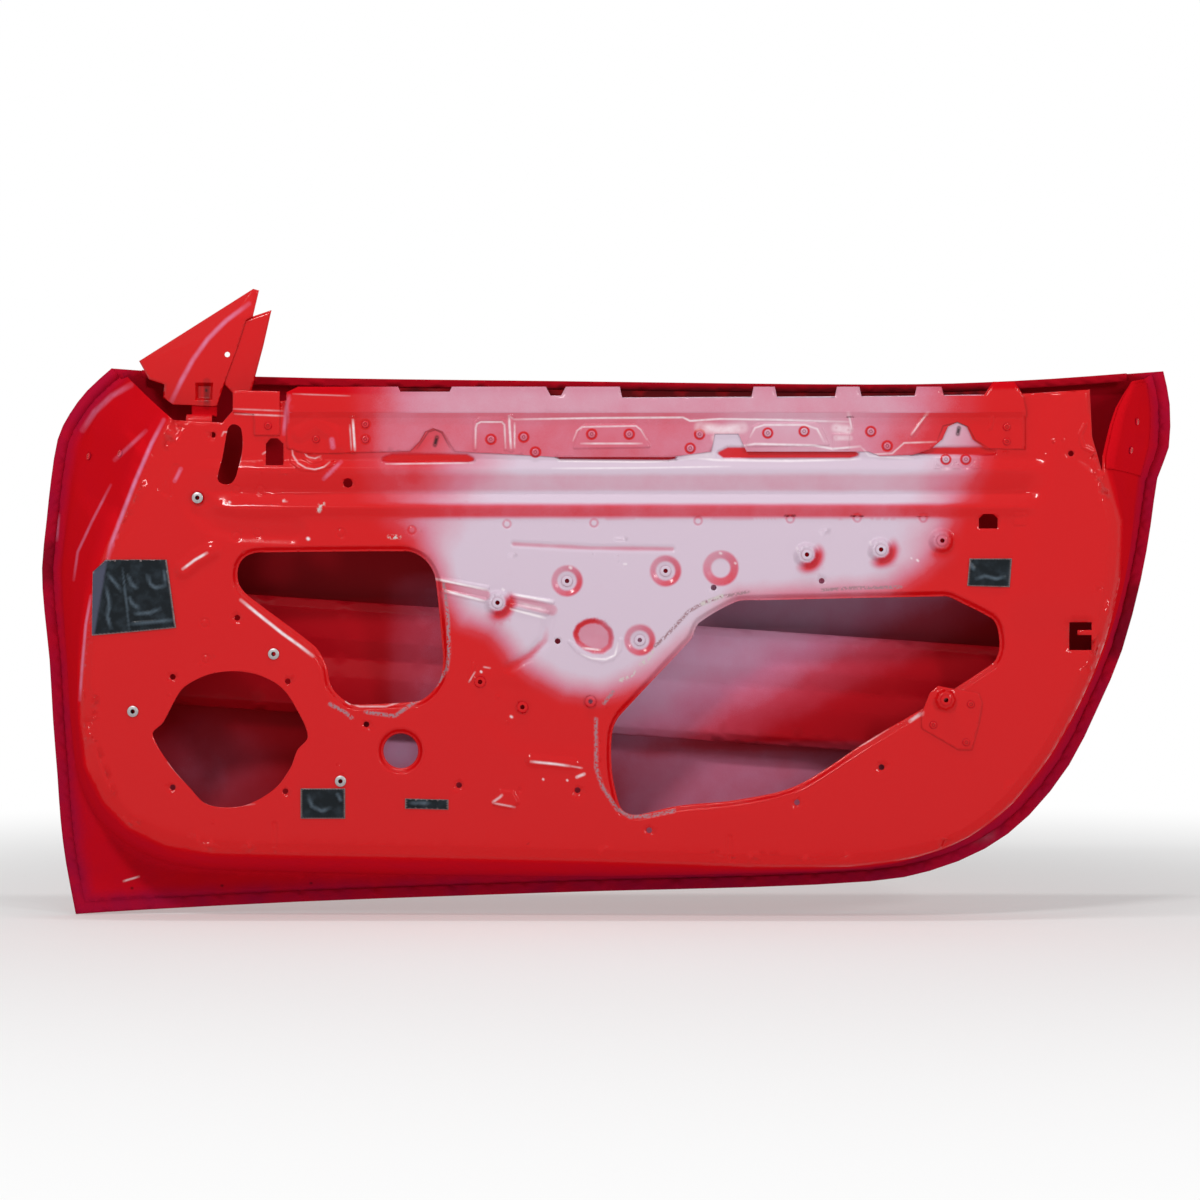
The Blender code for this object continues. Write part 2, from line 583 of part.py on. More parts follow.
# Runs that several pieces share
hem_run = smooth_run(placed(HEM_SHARES), STATION_STEPS, (HEM_SHARP_POINT,))
foot_run = smooth_run(placed(FOOT_SHARES), STATION_STEPS)
corner_run = smooth_run(placed(CORNER_SHARES), STATION_STEPS)
belt_run = smooth_run(placed(BELT_SHARES), BELT_STEPS)
front_opening = placed(FRONT_OPENING_SHARES)
rear_opening = placed(REAR_OPENING_SHARES)
round_hole = ring(place(ROUND_HOLE_SHARES), ROUND_HOLE_RADIUS, ROUND_SIDES)


def with_depth(run, depth, drop):
    """Run in space, a drop in front of a depth."""
    depths = depth(numpy.array([tuple(point) for point in run]))
    return [Vector((point.x, y - drop, point.y)) for point, y in zip(run, depths)]


def wall_rows():
    """Rows of the panel from the hem flange over the ledge and up the wall to the face."""
    flange_drop = SKIN_THICKNESS / 2 + SHEET_GAP + PANEL_THICKNESS / 2
    rows = [
        with_depth(inset(hem_run, HEM_EDGE_GAP), skin_depth, flange_drop),
        with_depth(inset(hem_run, FLANGE_WIDTH), skin_depth, flange_drop),
        with_depth(inset(hem_run, FLANGE_WIDTH + JOGGLE_WIDTH), skin_depth, flange_drop + JOGGLE_RISE),
    ]
    foot = with_depth(foot_run, skin_depth, LEDGE_RISE)
    top = []
    for number, point in enumerate(corner_run):
        y = depth_at(pressed_rows, point) + CORNER_DROP
        beyond = max(0, number / STATION_STEPS - LAST_FACE_STATION)
        span = len(CORNER_SHARES) - 1 - LAST_FACE_STATION
        y += (foot[number].y - y) * EAR_FALL_SHARE * (beyond / span) ** 2
        top.append(Vector((point.x, y, point.y)))
    rows.append(foot)
    for along, rise in WALL_ROW_SHARES:
        row = []
        for low, high in zip(foot, top):
            point = low.lerp(high, along)
            point.y = low.y + (high.y - low.y) * rise
            row.append(point)
        rows.append(row)
    rows.append(top)
    for stations in (HINGE_UPPER_STATIONS, HINGE_LOWER_STATIONS):
        flatten(rows, stations)
    return rows


def flatten(rows, stations):
    """Makes the wall between two stations one flat pad, by changing its depth only."""
    first, last = (station * STATION_STEPS for station in stations)
    lowest, highest = PAD_ROWS
    low_start, low_end = rows[lowest][first].copy(), rows[lowest][last].copy()
    high = rows[highest][(first + last) // 2].copy()
    normal = (low_end - low_start).cross(high - low_start)
    for row in rows[lowest : highest + 1]:
        for point in row[first : last + 1]:
            away = point - low_start
            point.y = low_start.y - (normal.x * away.x + normal.z * away.z) / normal.y


walls = wall_rows()
WALL_ROW_ALONG = (0, *(along for along, _ in WALL_ROW_SHARES), 1)


def wall_point(station, along):
    """Point of the wall's middle surface, from a station and a share from the foot to the face."""
    column = station * STATION_STEPS
    left = min(int(column), len(walls[0]) - 2)
    lower = max(n for n in range(len(WALL_ROW_ALONG) - 1) if WALL_ROW_ALONG[n] <= along)
    span = WALL_ROW_ALONG[lower + 1] - WALL_ROW_ALONG[lower]
    up = (along - WALL_ROW_ALONG[lower]) / span
    low, high = walls[FOOT_ROW + lower], walls[FOOT_ROW + lower + 1]
    side = column - left
    return low[left].lerp(low[left + 1], side).lerp(high[left].lerp(high[left + 1], side), up)


def wall_normal(station, along):
    """Direction out of the wall towards the inner side."""
    step = NORMAL_STEP_SHARE
    run = wall_point(station + step, along) - wall_point(station - step, along)
    climb = wall_point(station, along + step) - wall_point(station, along - step)
    normal = run.cross(climb).normalized()
    return normal if normal.y < 0 else -normal


def level_run(height, columns):
    """Run across the door at one height, in steps that sheets lying on each other share."""
    return [place((number / ROW_STEPS, height)) for number in range(*columns)]


def rivet_rings(table, radius, sides):
    return [ring(place(shares), radius, sides) for shares in table]


def inner_panel():
    """The large pressing: hem flange, ledge and walls as rows, and the face as one sheet."""
    last = LAST_FACE_STATION * STATION_STEPS
    face_edge = corner_run[: last + 1]
    outline = face_edge + placed(FACE_TOP_SHARES)
    nuts = rivet_rings([entry[0] for entry in NUT_SEATS], NUT_BARREL_RADIUS + SHEET_GAP, NUT_SIDES)
    rivets = BELT_RIVET_SHARES + PANEL_RIVET_SHARES + (FRONT_BRACKET_RIVET_SHARES,) + HANDLE_RIVET_SHARES
    openings = [front_opening, rear_opening, round_hole]
    plain = [
        placed(table)
        for table in (
            SPEAKER_SHARES, LATCH_NOTCH_SHARES, FRONT_SLOT_SHARES, REAR_SLOT_SHARES, SQUARE_HOLE_SHARES,
        )
    ]
    holes = openings + plain + nuts
    holes += rivet_rings(rivets, RIVET_HOLE_RADIUS, RIVET_SIDES)
    holes += rivet_rings(SMALL_HOLE_SHARES, SMALL_HOLE_RADIUS, RIVET_SIDES)
    holes += rivet_rings((CLIP_HOLE_SHARES,), CLIP_HOLE_RADIUS, RIVET_SIDES)
    guides = [(widened(loop, OPENING_LIP_WIDTH), True) for loop in openings]
    guides.append((inset(face_edge, CORNER_WIDTH), False))
    for shares, radius, drop in NUT_SEATS + ((BLANK_DISH_SHARES, BLANK_DISH_RADIUS, DISH_DEPTH),):
        guides.append((ring(place(shares), SEAT_FLAT_RADIUS, NUT_SIDES), True))
        if drop:
            guides.append((ring(place(shares), radius, NUT_SIDES), True))
    for shares in PANEL_RIVET_SHARES:
        guides.append((ring(place(shares), SEAT_FLAT_RADIUS, NUT_SIDES), True))
    for height, _ in SWAGE_SHARES[:-1]:
        guides.append((level_run(height, PANEL_ROW_COLUMNS), False))
    top, foot = place(SWAGE_REAR_TOP_SHARES), place(SWAGE_REAR_FOOT_SHARES)
    slanted = [foot.lerp(top, number / REAR_LINE_STEPS) for number in range(REAR_LINE_STEPS + 1)]
    guides.append((slanted, False))
    guides.append(([point - Vector((SWAGE_REAR_RAMP, 0)) for point in slanted], False))
    ends = [place((SWAGE_FRONT_SHARES[1], height)) for height, _ in SWAGE_SHARES]
    guides.append((ends[:-1], False))

    def face_depth(points):
        edge = run_distance(points, face_edge, False)
        return relief(points) + CORNER_DROP * (edge < WELD_DISTANCE)

    mesh = sheet(outline, holes, guides, PANEL_GRID, face_depth)
    add_rows(mesh, walls)
    face_inward(mesh)
    return sheet_node("inner_panel", mesh, PANEL_THICKNESS, red_paint)


def widened(loop, distance):
    """Closed loop moved outwards by a distance."""
    area = sum(a.x * b.y - b.x * a.y for a, b in zip(loop, loop[1:] + loop[:1]))
    wrapped = [loop[-1]] + loop + [loop[0]]
    return inset(wrapped, -distance if area > 0 else distance)[1:-1]


def outer_skin():
    """Skin with its folded hem round the lower edges and its lip along the belt."""
    belt_back = list(reversed(belt_run))[1:-1]
    crease = []
    for number in range(1, CREASE_STEPS):
        along = number / CREASE_STEPS
        crease.append(place((along, CREASE_FRONT_SHARE + CREASE_CLIMB_SHARE * along)))
    guides = [(inset(hem_run, FLANGE_WIDTH)[2:-2], False), (crease, False)]
    guides += [(level, False) for level in rail_levels()[2:]]
    aperture = slot(*placed(HANDLE_APERTURE_SHARES), HANDLE_APERTURE_RADIUS)
    lock = ring(place(LOCK_HOLE_SHARES), LOCK_HOLE_RADIUS, NUT_SIDES)
    mesh = sheet(hem_run + belt_back, [aperture, lock], guides, SKIN_GRID, skin_depth)
    hem_drop = SKIN_THICKNESS + 2 * SHEET_GAP + PANEL_THICKNESS
    add_rows(mesh, [
        with_depth(hem_run, skin_depth, 0),
        with_depth(hem_run, skin_depth, hem_drop),
        with_depth(inset(hem_run, HEM_WIDTH), skin_depth, hem_drop),
    ])
    lipped = [
        point for point in belt_run
        if min((point - belt_run[0]).length, (point - belt_run[-1]).length) > BELT_LIP_END_GAP
    ]
    edge = with_depth(lipped, skin_depth, 0)
    lip = with_depth(lipped, skin_depth, BELT_LIP_WIDTH)
    turned = [point - Vector((0, 0, BELT_LIP_DROP)) for point in lip]
    add_rows(mesh, [edge, lip, turned])
    face_inward(mesh)
    return sheet_node("outer_skin", mesh, SKIN_THICKNESS, red_paint)


def rail_levels():
    """Runs down the rail: top, foot of the web, and the two edges of the foot on the skin."""
    start, end = (share * DOOR_LENGTH for share in RAIL_SHARES)
    top = [point - Vector((0, RAIL_TOP_GAP)) for point in belt_run if start < point.x < end]
    web = [point - Vector((0, RAIL_WEB_HEIGHT)) for point in top]
    foot = [point - Vector((0, RAIL_FOOT_HEIGHT)) for point in web]
    return top, web, foot, [point - Vector((0, RAIL_FOOT_HEIGHT)) for point in foot]


def belt_rail():
    """Rail behind the skin's belt lip, with its foot on the skin."""
    inner = BELT_LIP_WIDTH - (SKIN_THICKNESS + RAIL_THICKNESS) / 2 - SHEET_GAP
    foot_gap = (SKIN_THICKNESS + RAIL_THICKNESS) / 2 + SEAT_GAP
    top, web, foot, edge = rail_levels()
    high = with_depth([point + Vector((0, RAIL_TOP_GAP)) for point in top], skin_depth, inner)
    rows = [[Vector((p.x, deep.y, p.y)) for p, deep in zip(level, high)] for level in (top, web)]
    rows += [with_depth(foot, skin_depth, foot_gap), with_depth(edge, skin_depth, foot_gap)]
    mesh = bmesh.new()
    add_rows(mesh, rows)
    face_inward(mesh)
    return sheet_node("belt_rail_outer", mesh, RAIL_THICKNESS, red_paint)


def on_panel(points):
    """Depth of a plate of the panel's thickness lying on the inner face."""
    return pressed_rows(points) - PANEL_THICKNESS - SHEET_GAP


def reinforcement_depth(points):
    low, high = (share * DOOR_HEIGHT for share in REINFORCEMENT_STEP_SHARES)
    return on_panel(points) - REINFORCEMENT_RAISE * blend(low, high, points[:, 1])


def belt_reinforcement():
    holes = rivet_rings(BELT_RIVET_SHARES, RIVET_HOLE_RADIUS, RIVET_SIDES)
    guides = []
    for height in REINFORCEMENT_STEP_SHARES:
        guides.append((level_run(height, REINFORCEMENT_ROW_COLUMNS), False))
    mesh = sheet(placed(REINFORCEMENT_SHARES), holes, guides, SMALL_GRID, reinforcement_depth)
    face_inward(mesh)
    return sheet_node("belt_reinforcement", mesh, PANEL_THICKNESS, pale_primer)


def front_belt_bracket():
    hole = rivet_rings((FRONT_BRACKET_RIVET_SHARES,), RIVET_HOLE_RADIUS, RIVET_SIDES)
    mesh = sheet(placed(FRONT_BRACKET_SHARES), hole, [], SMALL_GRID, on_panel)
    face_inward(mesh)
    return sheet_node("belt_front_bracket", mesh, PANEL_THICKNESS, red_paint)


def handle_cone(points):
    """Handle bracket's depth: flat on the face, with a round cone for its nut."""
    centre = place(HANDLE_NUT_SHARES)
    away = numpy.hypot(points[:, 0] - centre.x, points[:, 1] - centre.y)
    cone = HANDLE_CONE_HEIGHT * (1 - blend(SEAT_FLAT_RADIUS, HANDLE_CONE_RADIUS, away))
    return on_panel(points) - cone


def handle_bracket():
    centre = place(HANDLE_NUT_SHARES)
    holes = rivet_rings(HANDLE_RIVET_SHARES, RIVET_HOLE_RADIUS, RIVET_SIDES)
    holes += [ring(centre, NUT_BARREL_RADIUS + SHEET_GAP, NUT_SIDES)]
    guides = [(ring(centre, radius, NUT_SIDES), True) for radius in (SEAT_FLAT_RADIUS, HANDLE_CONE_RADIUS)]
    mesh = sheet(placed(HANDLE_BRACKET_SHARES), holes, guides, SMALL_GRID, handle_cone)
    face_inward(mesh)
    return sheet_node("pull_handle_bracket", mesh, PANEL_THICKNESS, red_paint)


def sail_depth(points):
    """Mirror corner's depth: flat behind a curved crease and swept back in front of it."""
    crease = smooth_run(placed(SAIL_CREASE_SHARES), SAIL_CREASE_STEPS)
    heights = [point.y for point in crease]
    line = numpy.interp(points[:, 1], heights, [point.x for point in crease])
    return SAIL_DEPTH + SAIL_SWEEP_SHARE * numpy.maximum(0, line - points[:, 0])


def sail_front_depth(points):
    pocket = placed(SAIL_POCKET_SHARES)
    away = run_distance(points, pocket, True) * inside(points, pocket)
    return sail_depth(points) + SAIL_POCKET_DEPTH * blend(0, SAIL_POCKET_RAMP, away)


def mirror_corner():
    """Front and rear plates of the mirror corner, and the bent foot that carries them."""
    pocket = placed(SAIL_POCKET_SHARES)
    crease = smooth_run(placed(SAIL_CREASE_SHARES), SAIL_CREASE_STEPS)[SAIL_CREASE_STEPS:-2]
    guides = [(crease, False), (pocket, True), (widened(pocket, -SAIL_POCKET_RAMP), True)]
    hole = ring(place(SAIL_HOLE_SHARES), SAIL_HOLE_RADIUS, RIVET_SIDES)
    front = sheet(placed(SAIL_FRONT_SHARES), [hole], guides, SMALL_GRID, sail_front_depth)
    face_inward(front)
    sheet_node("mirror_sail_front", front, PANEL_THICKNESS, red_paint)

    def behind(points):
        return 0 * points[:, 0] + SAIL_DEPTH + PANEL_THICKNESS + SHEET_GAP

    wide_hole = ring(place(SAIL_HOLE_SHARES), SAIL_HOLE_RADIUS + SHEET_GAP, RIVET_SIDES)
    rear = sheet(placed(SAIL_REAR_SHARES), [wide_hole], [], SMALL_GRID, behind)
    face_inward(rear)
    sheet_node("mirror_sail_rear", rear, PANEL_THICKNESS, red_paint)
    low, high = SAIL_FOOT_ACROSS_SHARES
    columns = [low + (high - low) * number / SAIL_FOOT_STEPS for number in range(SAIL_FOOT_STEPS + 1)]
    stack = PANEL_THICKNESS + SHEET_GAP
    levels = (
        (SAIL_FOOT_LOW_SHARE, 0, 0), (SAIL_FOOT_SHELF_SHARE, -SAIL_FOOT_BEND, 0),
        (SAIL_FOOT_SHELF_SHARE, 0, SAIL_FOOT_BEND), (SAIL_FOOT_SHELF_SHARE, 0, SAIL_DEPTH - SAIL_FOOT_BEND),
        (SAIL_FOOT_SHELF_SHARE, SAIL_FOOT_BEND, SAIL_DEPTH), (SAIL_FOOT_TOP_SHARE, 0, SAIL_DEPTH),
    )
    rows = []
    for height, raise_by, back in levels:
        row = []
        for column in columns:
            point = place((column, height))
            on_face = depth_at(pressed_rows, place((column, SAIL_FOOT_LOW_SHARE)))
            share = back / SAIL_DEPTH
            row.append(Vector((point.x, on_face * (1 - share) + back + stack, point.y + raise_by)))
        rows.append(row)
    mesh = bmesh.new()
    add_rows(mesh, rows)
    face_inward(mesh)
    sheet_node("mirror_sail_foot", mesh, PANEL_THICKNESS, red_paint)


def wall_plate(name, stations, levels, side, thickness):
    """Plate that follows part of the wall, on its inner side or behind it."""
    first, last = (station * STATION_STEPS for station in stations)
    lowest, highest = levels
    rows = [[point.copy() for point in row[first : last + 1]] for row in walls[lowest : highest + 1]]
    for row in rows:
        row[0] = row[0].lerp(row[1], PLATE_MARGIN_SHARE)
        row[-1] = row[-1].lerp(row[-2], PLATE_MARGIN_SHARE)
    rows[0] = [low.lerp(high, PLATE_MARGIN_SHARE) for low, high in zip(rows[0], rows[1])]
    rows[-1] = [high.lerp(low, PLATE_MARGIN_SHARE) for high, low in zip(rows[-1], rows[-2])]
    mesh = bmesh.new()
    add_rows(mesh, rows)
    face_inward(mesh)
    lift(mesh, side * ((PANEL_THICKNESS + thickness) / 2 + SEAT_GAP))
    return sheet_node(name, mesh, thickness, red_paint)


def side_beam():
    """Wide pressed beam whose ends are flanges on the back of both walls."""
    stack = (PANEL_THICKNESS + BEAM_THICKNESS) / 2 + SEAT_GAP
    top_line, foot_line = placed(BEAM_TOP_SHARES), placed(BEAM_FOOT_SHARES)
    rows = []
    for share, edge in BEAM_ROWS:
        ends = []
        for (first, last), flange in (
            (BEAM_FRONT_STATIONS, BEAM_FRONT_FLANGE_SHARES),
            (BEAM_REAR_STATIONS, BEAM_REAR_FLANGE_SHARES),
        ):
            station = first + (last - first) * share
            ends.append([
                wall_point(station, along) - wall_normal(station, along) * stack for along in flange
            ])
        front, rear = ends
        left = top_line[0].lerp(foot_line[0], share)
        right = top_line[1].lerp(foot_line[1], share)
        start, end = front[0].x + BEAM_REACH, rear[0].x - BEAM_REACH
        row = list(reversed(front))
        for number in range(BEAM_COLUMNS):
            x = start + (end - start) * number / (BEAM_COLUMNS - 1)
            z = left.y + (right.y - left.y) * (x - left.x) / (right.x - left.x)
            y = depth_at(skin_depth, Vector((x, z))) - BEAM_STANDOFF + BEAM_EDGE_DEPTH * edge
            row.append(Vector((x, y, z)))
        rows.append(row + rear)
    mesh = bmesh.new()
    add_rows(mesh, rows)
    face_inward(mesh)
    return sheet_node("intrusion_beam", mesh, BEAM_THICKNESS, pale_primer)


def cast_depths(points):
    """Depth of the panel's facets at and beyond the corner of the face."""
    columns = len(walls[0])
    verts = [point for row in walls for point in row]
    faces = []
    for row in range(len(walls) - 1):
        for number in range(row * columns, (row + 1) * columns - 1):
            faces.append((number, number + 1, number + 1 + columns, number + columns))
    tree = BVHTree.FromPolygons(verts, faces)
    depths = []
    for x, z in points:
        hit = tree.ray_cast(Vector((x, -DOOR_LENGTH, z)), Vector((0, 1, 0)))[0]
        depths.append(hit.y if hit else 0)
    return numpy.array(depths)


def panel_depth(points):
    """Depth of the inner face, rounded at its corner, and of the wall beyond it."""
    face_edge = corner_run[: LAST_FACE_STATION * STATION_STEPS + 1]
    away = run_distance(points, face_edge, False)
    face = pressed_rows(points) + CORNER_DROP * (1 - numpy.clip(away / CORNER_WIDTH, 0, 1))
    on_face = inside(points, face_edge + placed(FACE_TOP_SHARES)) & (away > WELD_DISTANCE)
    return numpy.where(on_face, face, cast_depths(points))


def tape(name, table, guides):
    """Patch of tape that lies on the panel."""
    stack = PANEL_THICKNESS / 2 + SEAT_GAP + TAPE_THICKNESS / 2

    def depth(points):
        return panel_depth(points) - stack

    mesh = sheet(placed(table), [], guides, SMALL_GRID, depth)
    face_inward(mesh)
    return sheet_node(name, mesh, TAPE_THICKNESS, black_tape)


def turned(name, profile):
    """Mesh of a profile for a Screw modifier, closed by the axis or by itself."""
    mesh = bmesh.new()
    verts = [mesh.verts.new((radius, 0, height)) for radius, height in profile]
    for start, end in zip(verts, verts[1:]):
        mesh.edges.new((start, end))
    if profile[0][0] > 0:
        mesh.edges.new((verts[-1], verts[0]))
    data = bpy.data.meshes.new(name)
    mesh.to_mesh(data)
    mesh.free()
    return data


def turned_node(name, data, point, normal, finish, sides):
    """Turned piece with its top facing along the normal."""
    made = node(name, data, finish)
    made.location = point
    made.rotation_euler = normal.to_track_quat("Z", "Y").to_euler()
    spin = made.modifiers.new("turned", "SCREW")
    spin.steps = sides
    spin.render_steps = sides
    spin.use_merge_vertices = True
    spin.merge_threshold = WELD_DISTANCE
    return made


def rivet_profile(grip):
    """Head, shank through the sheets and flared tail, top to bottom."""
    under = SHEET_GAP
    tail = -grip - SHEET_GAP
    return (
        (0, under + RIVET_HEAD_HEIGHT),
        (RIVET_HEAD_RADIUS * RIVET_CROWN_SHARE, under + RIVET_HEAD_HEIGHT),
        (RIVET_HEAD_RADIUS, under + RIVET_HEAD_HEIGHT * RIVET_EDGE_SHARE),
        (RIVET_HEAD_RADIUS, under),
        (RIVET_SHANK_RADIUS, under),
        (RIVET_SHANK_RADIUS, tail),
        (RIVET_TAIL_RADIUS, tail - RIVET_TAIL_LENGTH * RIVET_FLARE_SHARE),
        (RIVET_SHANK_RADIUS, tail - RIVET_TAIL_LENGTH),
        (0, tail - RIVET_TAIL_LENGTH),
    )


def nut_profile(length):
    """Flange and barrel of a rivet nut with an open bore."""
    under = SHEET_GAP
    return (
        (NUT_BORE_RADIUS, under + NUT_FLANGE_HEIGHT),
        (NUT_FLANGE_RADIUS, under + NUT_FLANGE_HEIGHT),
        (NUT_FLANGE_RADIUS, under),
        (NUT_BARREL_RADIUS, under),
        (NUT_BARREL_RADIUS, -length),
        (NUT_BORE_RADIUS, -length),
    )


def seated(name, data, spot, depth, finish, sides):
    """Turned piece on a sheet whose middle has the given depth, facing the inner side."""
    point = Vector((spot.x, depth - PANEL_THICKNESS / 2, spot.y))
    turned_node(name, data, point, Vector((0, -1, 0)), finish, sides)


def fasteners():
    """Rivet nuts in the face, and blind rivets through the belt pieces and the bracket."""
    nut = turned("rivet_nut", nut_profile(NUT_BARREL_LENGTH))
    short_nut = turned("short_rivet_nut", nut_profile(HANDLE_CONE_HEIGHT))
    for number, (shares, _, drop) in enumerate(NUT_SEATS):
        spot = place(shares)
        depth = depth_at(pressed_rows, spot) + drop
        seated(f"rivet_nut_{number + 1:02d}", nut, spot, depth, bare_steel, NUT_SIDES)
    spot = place(HANDLE_NUT_SHARES)
    seated("handle_nut", short_nut, spot, depth_at(handle_cone, spot), bare_steel, NUT_SIDES)
    double = turned("rivet_double", rivet_profile(2 * PANEL_THICKNESS + SHEET_GAP))
    single = turned("rivet_single", rivet_profile(PANEL_THICKNESS))
    groups = (
        ("belt_rivet", double, BELT_RIVET_SHARES, reinforcement_depth),
        ("panel_rivet", single, PANEL_RIVET_SHARES, pressed_rows),
        ("bracket_rivet", double, (FRONT_BRACKET_RIVET_SHARES,), on_panel),
        ("handle_rivet", double, HANDLE_RIVET_SHARES, on_panel),
    )
    for name, data, table, surface in groups:
        for number, shares in enumerate(table):
            spot = place(shares)
            depth = depth_at(surface, spot)
            seated(f"{name}_{number + 1:02d}", data, spot, depth, red_paint, RIVET_SIDES)


def wall_rivets(name, places, plate, plate_thickness, over):
    """Rivets through the wall and a plate, with clearance holes in both and heads over the wall."""
    data = turned(name, rivet_profile(PANEL_THICKNESS + SEAT_GAP + plate_thickness))
    for number, (station, along) in enumerate(places):
        normal = wall_normal(station, along)
        point = wall_point(station, along)
        head = point + normal * (PANEL_THICKNESS / 2 + over)
        made = turned_node(f"{name}_{number + 1:02d}", data, head, normal, red_paint, RIVET_SIDES)
        bpy.ops.mesh.primitive_cylinder_add(
            vertices=RIVET_SIDES, radius=RIVET_HOLE_RADIUS, depth=CUTTER_LENGTH,
            location=point, rotation=made.rotation_euler,
        )
        cutter = bpy.context.object
        cutter.name = f"{name}_hole_{number + 1:02d}"
        for holder in list(cutter.users_collection):
            holder.objects.unlink(cutter)
        cutters.objects.link(cutter)
        cutter.parent = frame_empty
        cutter.hide_render = True
        cutter.display_type = "WIRE"
        for pierced in (panel, plate):
            hole = pierced.modifiers.new(cutter.name, "BOOLEAN")
            hole.operation = "DIFFERENCE"
            hole.solver = "EXACT"
            hole.object = cutter


panel = inner_panel()
outer_skin()
belt_rail()
belt_reinforcement()
front_belt_bracket()
handle_bracket()
mirror_corner()
side_beam()
hinge_plate = wall_plate("hinge_plate_upper", HINGE_UPPER_STATIONS, PAD_ROWS, -1, PLATE_THICKNESS)
wall_plate("hinge_plate_lower", HINGE_LOWER_STATIONS, PAD_ROWS, -1, PLATE_THICKNESS)
wall_plate("latch_plate", LATCH_STATIONS, PAD_ROWS, -1, PLATE_THICKNESS)
ear = wall_plate("rear_corner_plate", EAR_STATIONS, EAR_ROWS, 1, PANEL_THICKNESS)
wall_rivets("hinge_rivet", HINGE_RIVET_PLACES, hinge_plate, PLATE_THICKNESS, 0)
wall_rivets("ear_rivet", EAR_RIVET_PLACES, ear, PANEL_THICKNESS, SEAT_GAP + PANEL_THICKNESS)
first, last = (station * STATION_STEPS for station in TAPE_GUIDE_STATIONS)
bends = (corner_run[first:last], inset(corner_run, CORNER_WIDTH)[first:last])
tape("tape_hinge", HINGE_TAPE_SHARES, [(bend, False) for bend in bends])
tape("tape_lower", LOWER_TAPE_SHARES, [])
tape("tape_slot", SLOT_TAPE_SHARES, [])
tape("tape_rear", REAR_TAPE_SHARES, [])
fasteners()

origin = wall_point(ORIGIN_STATION, ORIGIN_ALONG_SHARE)
frame_empty.location = -(origin + wall_normal(ORIGIN_STATION, ORIGIN_ALONG_SHARE) * PANEL_THICKNESS / 2)
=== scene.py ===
import math

import bmesh
import bpy
import numpy as np
from mathutils import Matrix, Vector, noise


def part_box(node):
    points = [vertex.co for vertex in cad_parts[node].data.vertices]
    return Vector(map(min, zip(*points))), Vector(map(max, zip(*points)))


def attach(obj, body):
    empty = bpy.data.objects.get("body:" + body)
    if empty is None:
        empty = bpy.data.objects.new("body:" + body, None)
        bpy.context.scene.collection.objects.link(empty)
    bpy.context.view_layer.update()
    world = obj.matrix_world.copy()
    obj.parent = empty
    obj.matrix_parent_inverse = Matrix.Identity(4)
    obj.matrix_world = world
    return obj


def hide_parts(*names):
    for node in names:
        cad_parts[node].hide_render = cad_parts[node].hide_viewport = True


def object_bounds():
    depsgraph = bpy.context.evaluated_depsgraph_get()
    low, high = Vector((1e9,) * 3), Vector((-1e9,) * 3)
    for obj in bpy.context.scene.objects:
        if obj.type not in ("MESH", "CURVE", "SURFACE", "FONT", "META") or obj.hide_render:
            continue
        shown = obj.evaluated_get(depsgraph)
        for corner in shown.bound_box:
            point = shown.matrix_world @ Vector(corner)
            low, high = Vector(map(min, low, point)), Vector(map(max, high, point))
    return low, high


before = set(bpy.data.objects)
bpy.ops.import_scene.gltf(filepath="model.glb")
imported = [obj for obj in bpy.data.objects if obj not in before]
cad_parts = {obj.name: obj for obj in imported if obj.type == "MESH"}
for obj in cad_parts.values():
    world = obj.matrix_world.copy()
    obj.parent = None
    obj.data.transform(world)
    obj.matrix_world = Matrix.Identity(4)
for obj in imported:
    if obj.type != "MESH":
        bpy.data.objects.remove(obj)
cad_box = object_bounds()
bpy.ops.object.select_all(action="DESELECT")
scene = bpy.context.scene
scene.view_settings.view_transform = "Standard"

# The door's own frame: shares of its length and height, and depth behind the main inner face
LENGTH = 1.325
HEIGHT = 0.630
SHIFT = Vector((-0.054096, -0.054563, -0.200151))

# The photograph: a pixel's width on the inner face, its middle, and the camera's distance
PIXEL = 0.00113
MIDDLE_PIXEL = 600
CENTRE_X = SHIFT.x + 0.656
CENTRE_Z = SHIFT.z + 0.364
VIEW_DISTANCE = 3.2


def seen(px, pz):
    """Place on the door's inner face of a point of the photograph."""
    return Vector((CENTRE_X + (px - MIDDLE_PIXEL) * PIXEL, CENTRE_Z + (MIDDLE_PIXEL - pz) * PIXEL))


def seen_all(points):
    return [seen(*point) for point in points]


def shared(table):
    return [Vector((x * LENGTH + SHIFT.x, z * HEIGHT + SHIFT.z)) for x, z in table]


# Camera, level with the photograph's middle
eye = bpy.data.cameras.new("camera")
eye.lens = 85
camera = bpy.data.objects.new("camera", eye)
camera.location = (CENTRE_X, SHIFT.y - VIEW_DISTANCE, CENTRE_Z)
camera.rotation_euler = (math.radians(90), 0, 0)
scene.collection.objects.link(camera)
scene.camera = camera

# Soft lamps: place from the view's middle, width and height in metres, and power in watts
LAMPS = (
    ("key", (-1.0, -2.3, 1.9), (0.56, 0.24), 31),
    ("side", (1.9, -2.2, 1.0), (0.24, 0.56), 17),
    ("top", (0.0, -0.5, 2.0), (1.30, 0.12), 11),
)
for name, (east, depth, up), size, power in LAMPS:
    light = bpy.data.lights.new(name, "AREA")
    light.shape = "RECTANGLE"
    light.size, light.size_y = size
    light.energy = power
    lamp = bpy.data.objects.new(name, light)
    lamp.location = (CENTRE_X + east, depth, CENTRE_Z + up)
    aim = Vector((CENTRE_X, 0, CENTRE_Z)) - lamp.location
    lamp.rotation_euler = aim.to_track_quat("-Z", "Y").to_euler()
    scene.collection.objects.link(lamp)


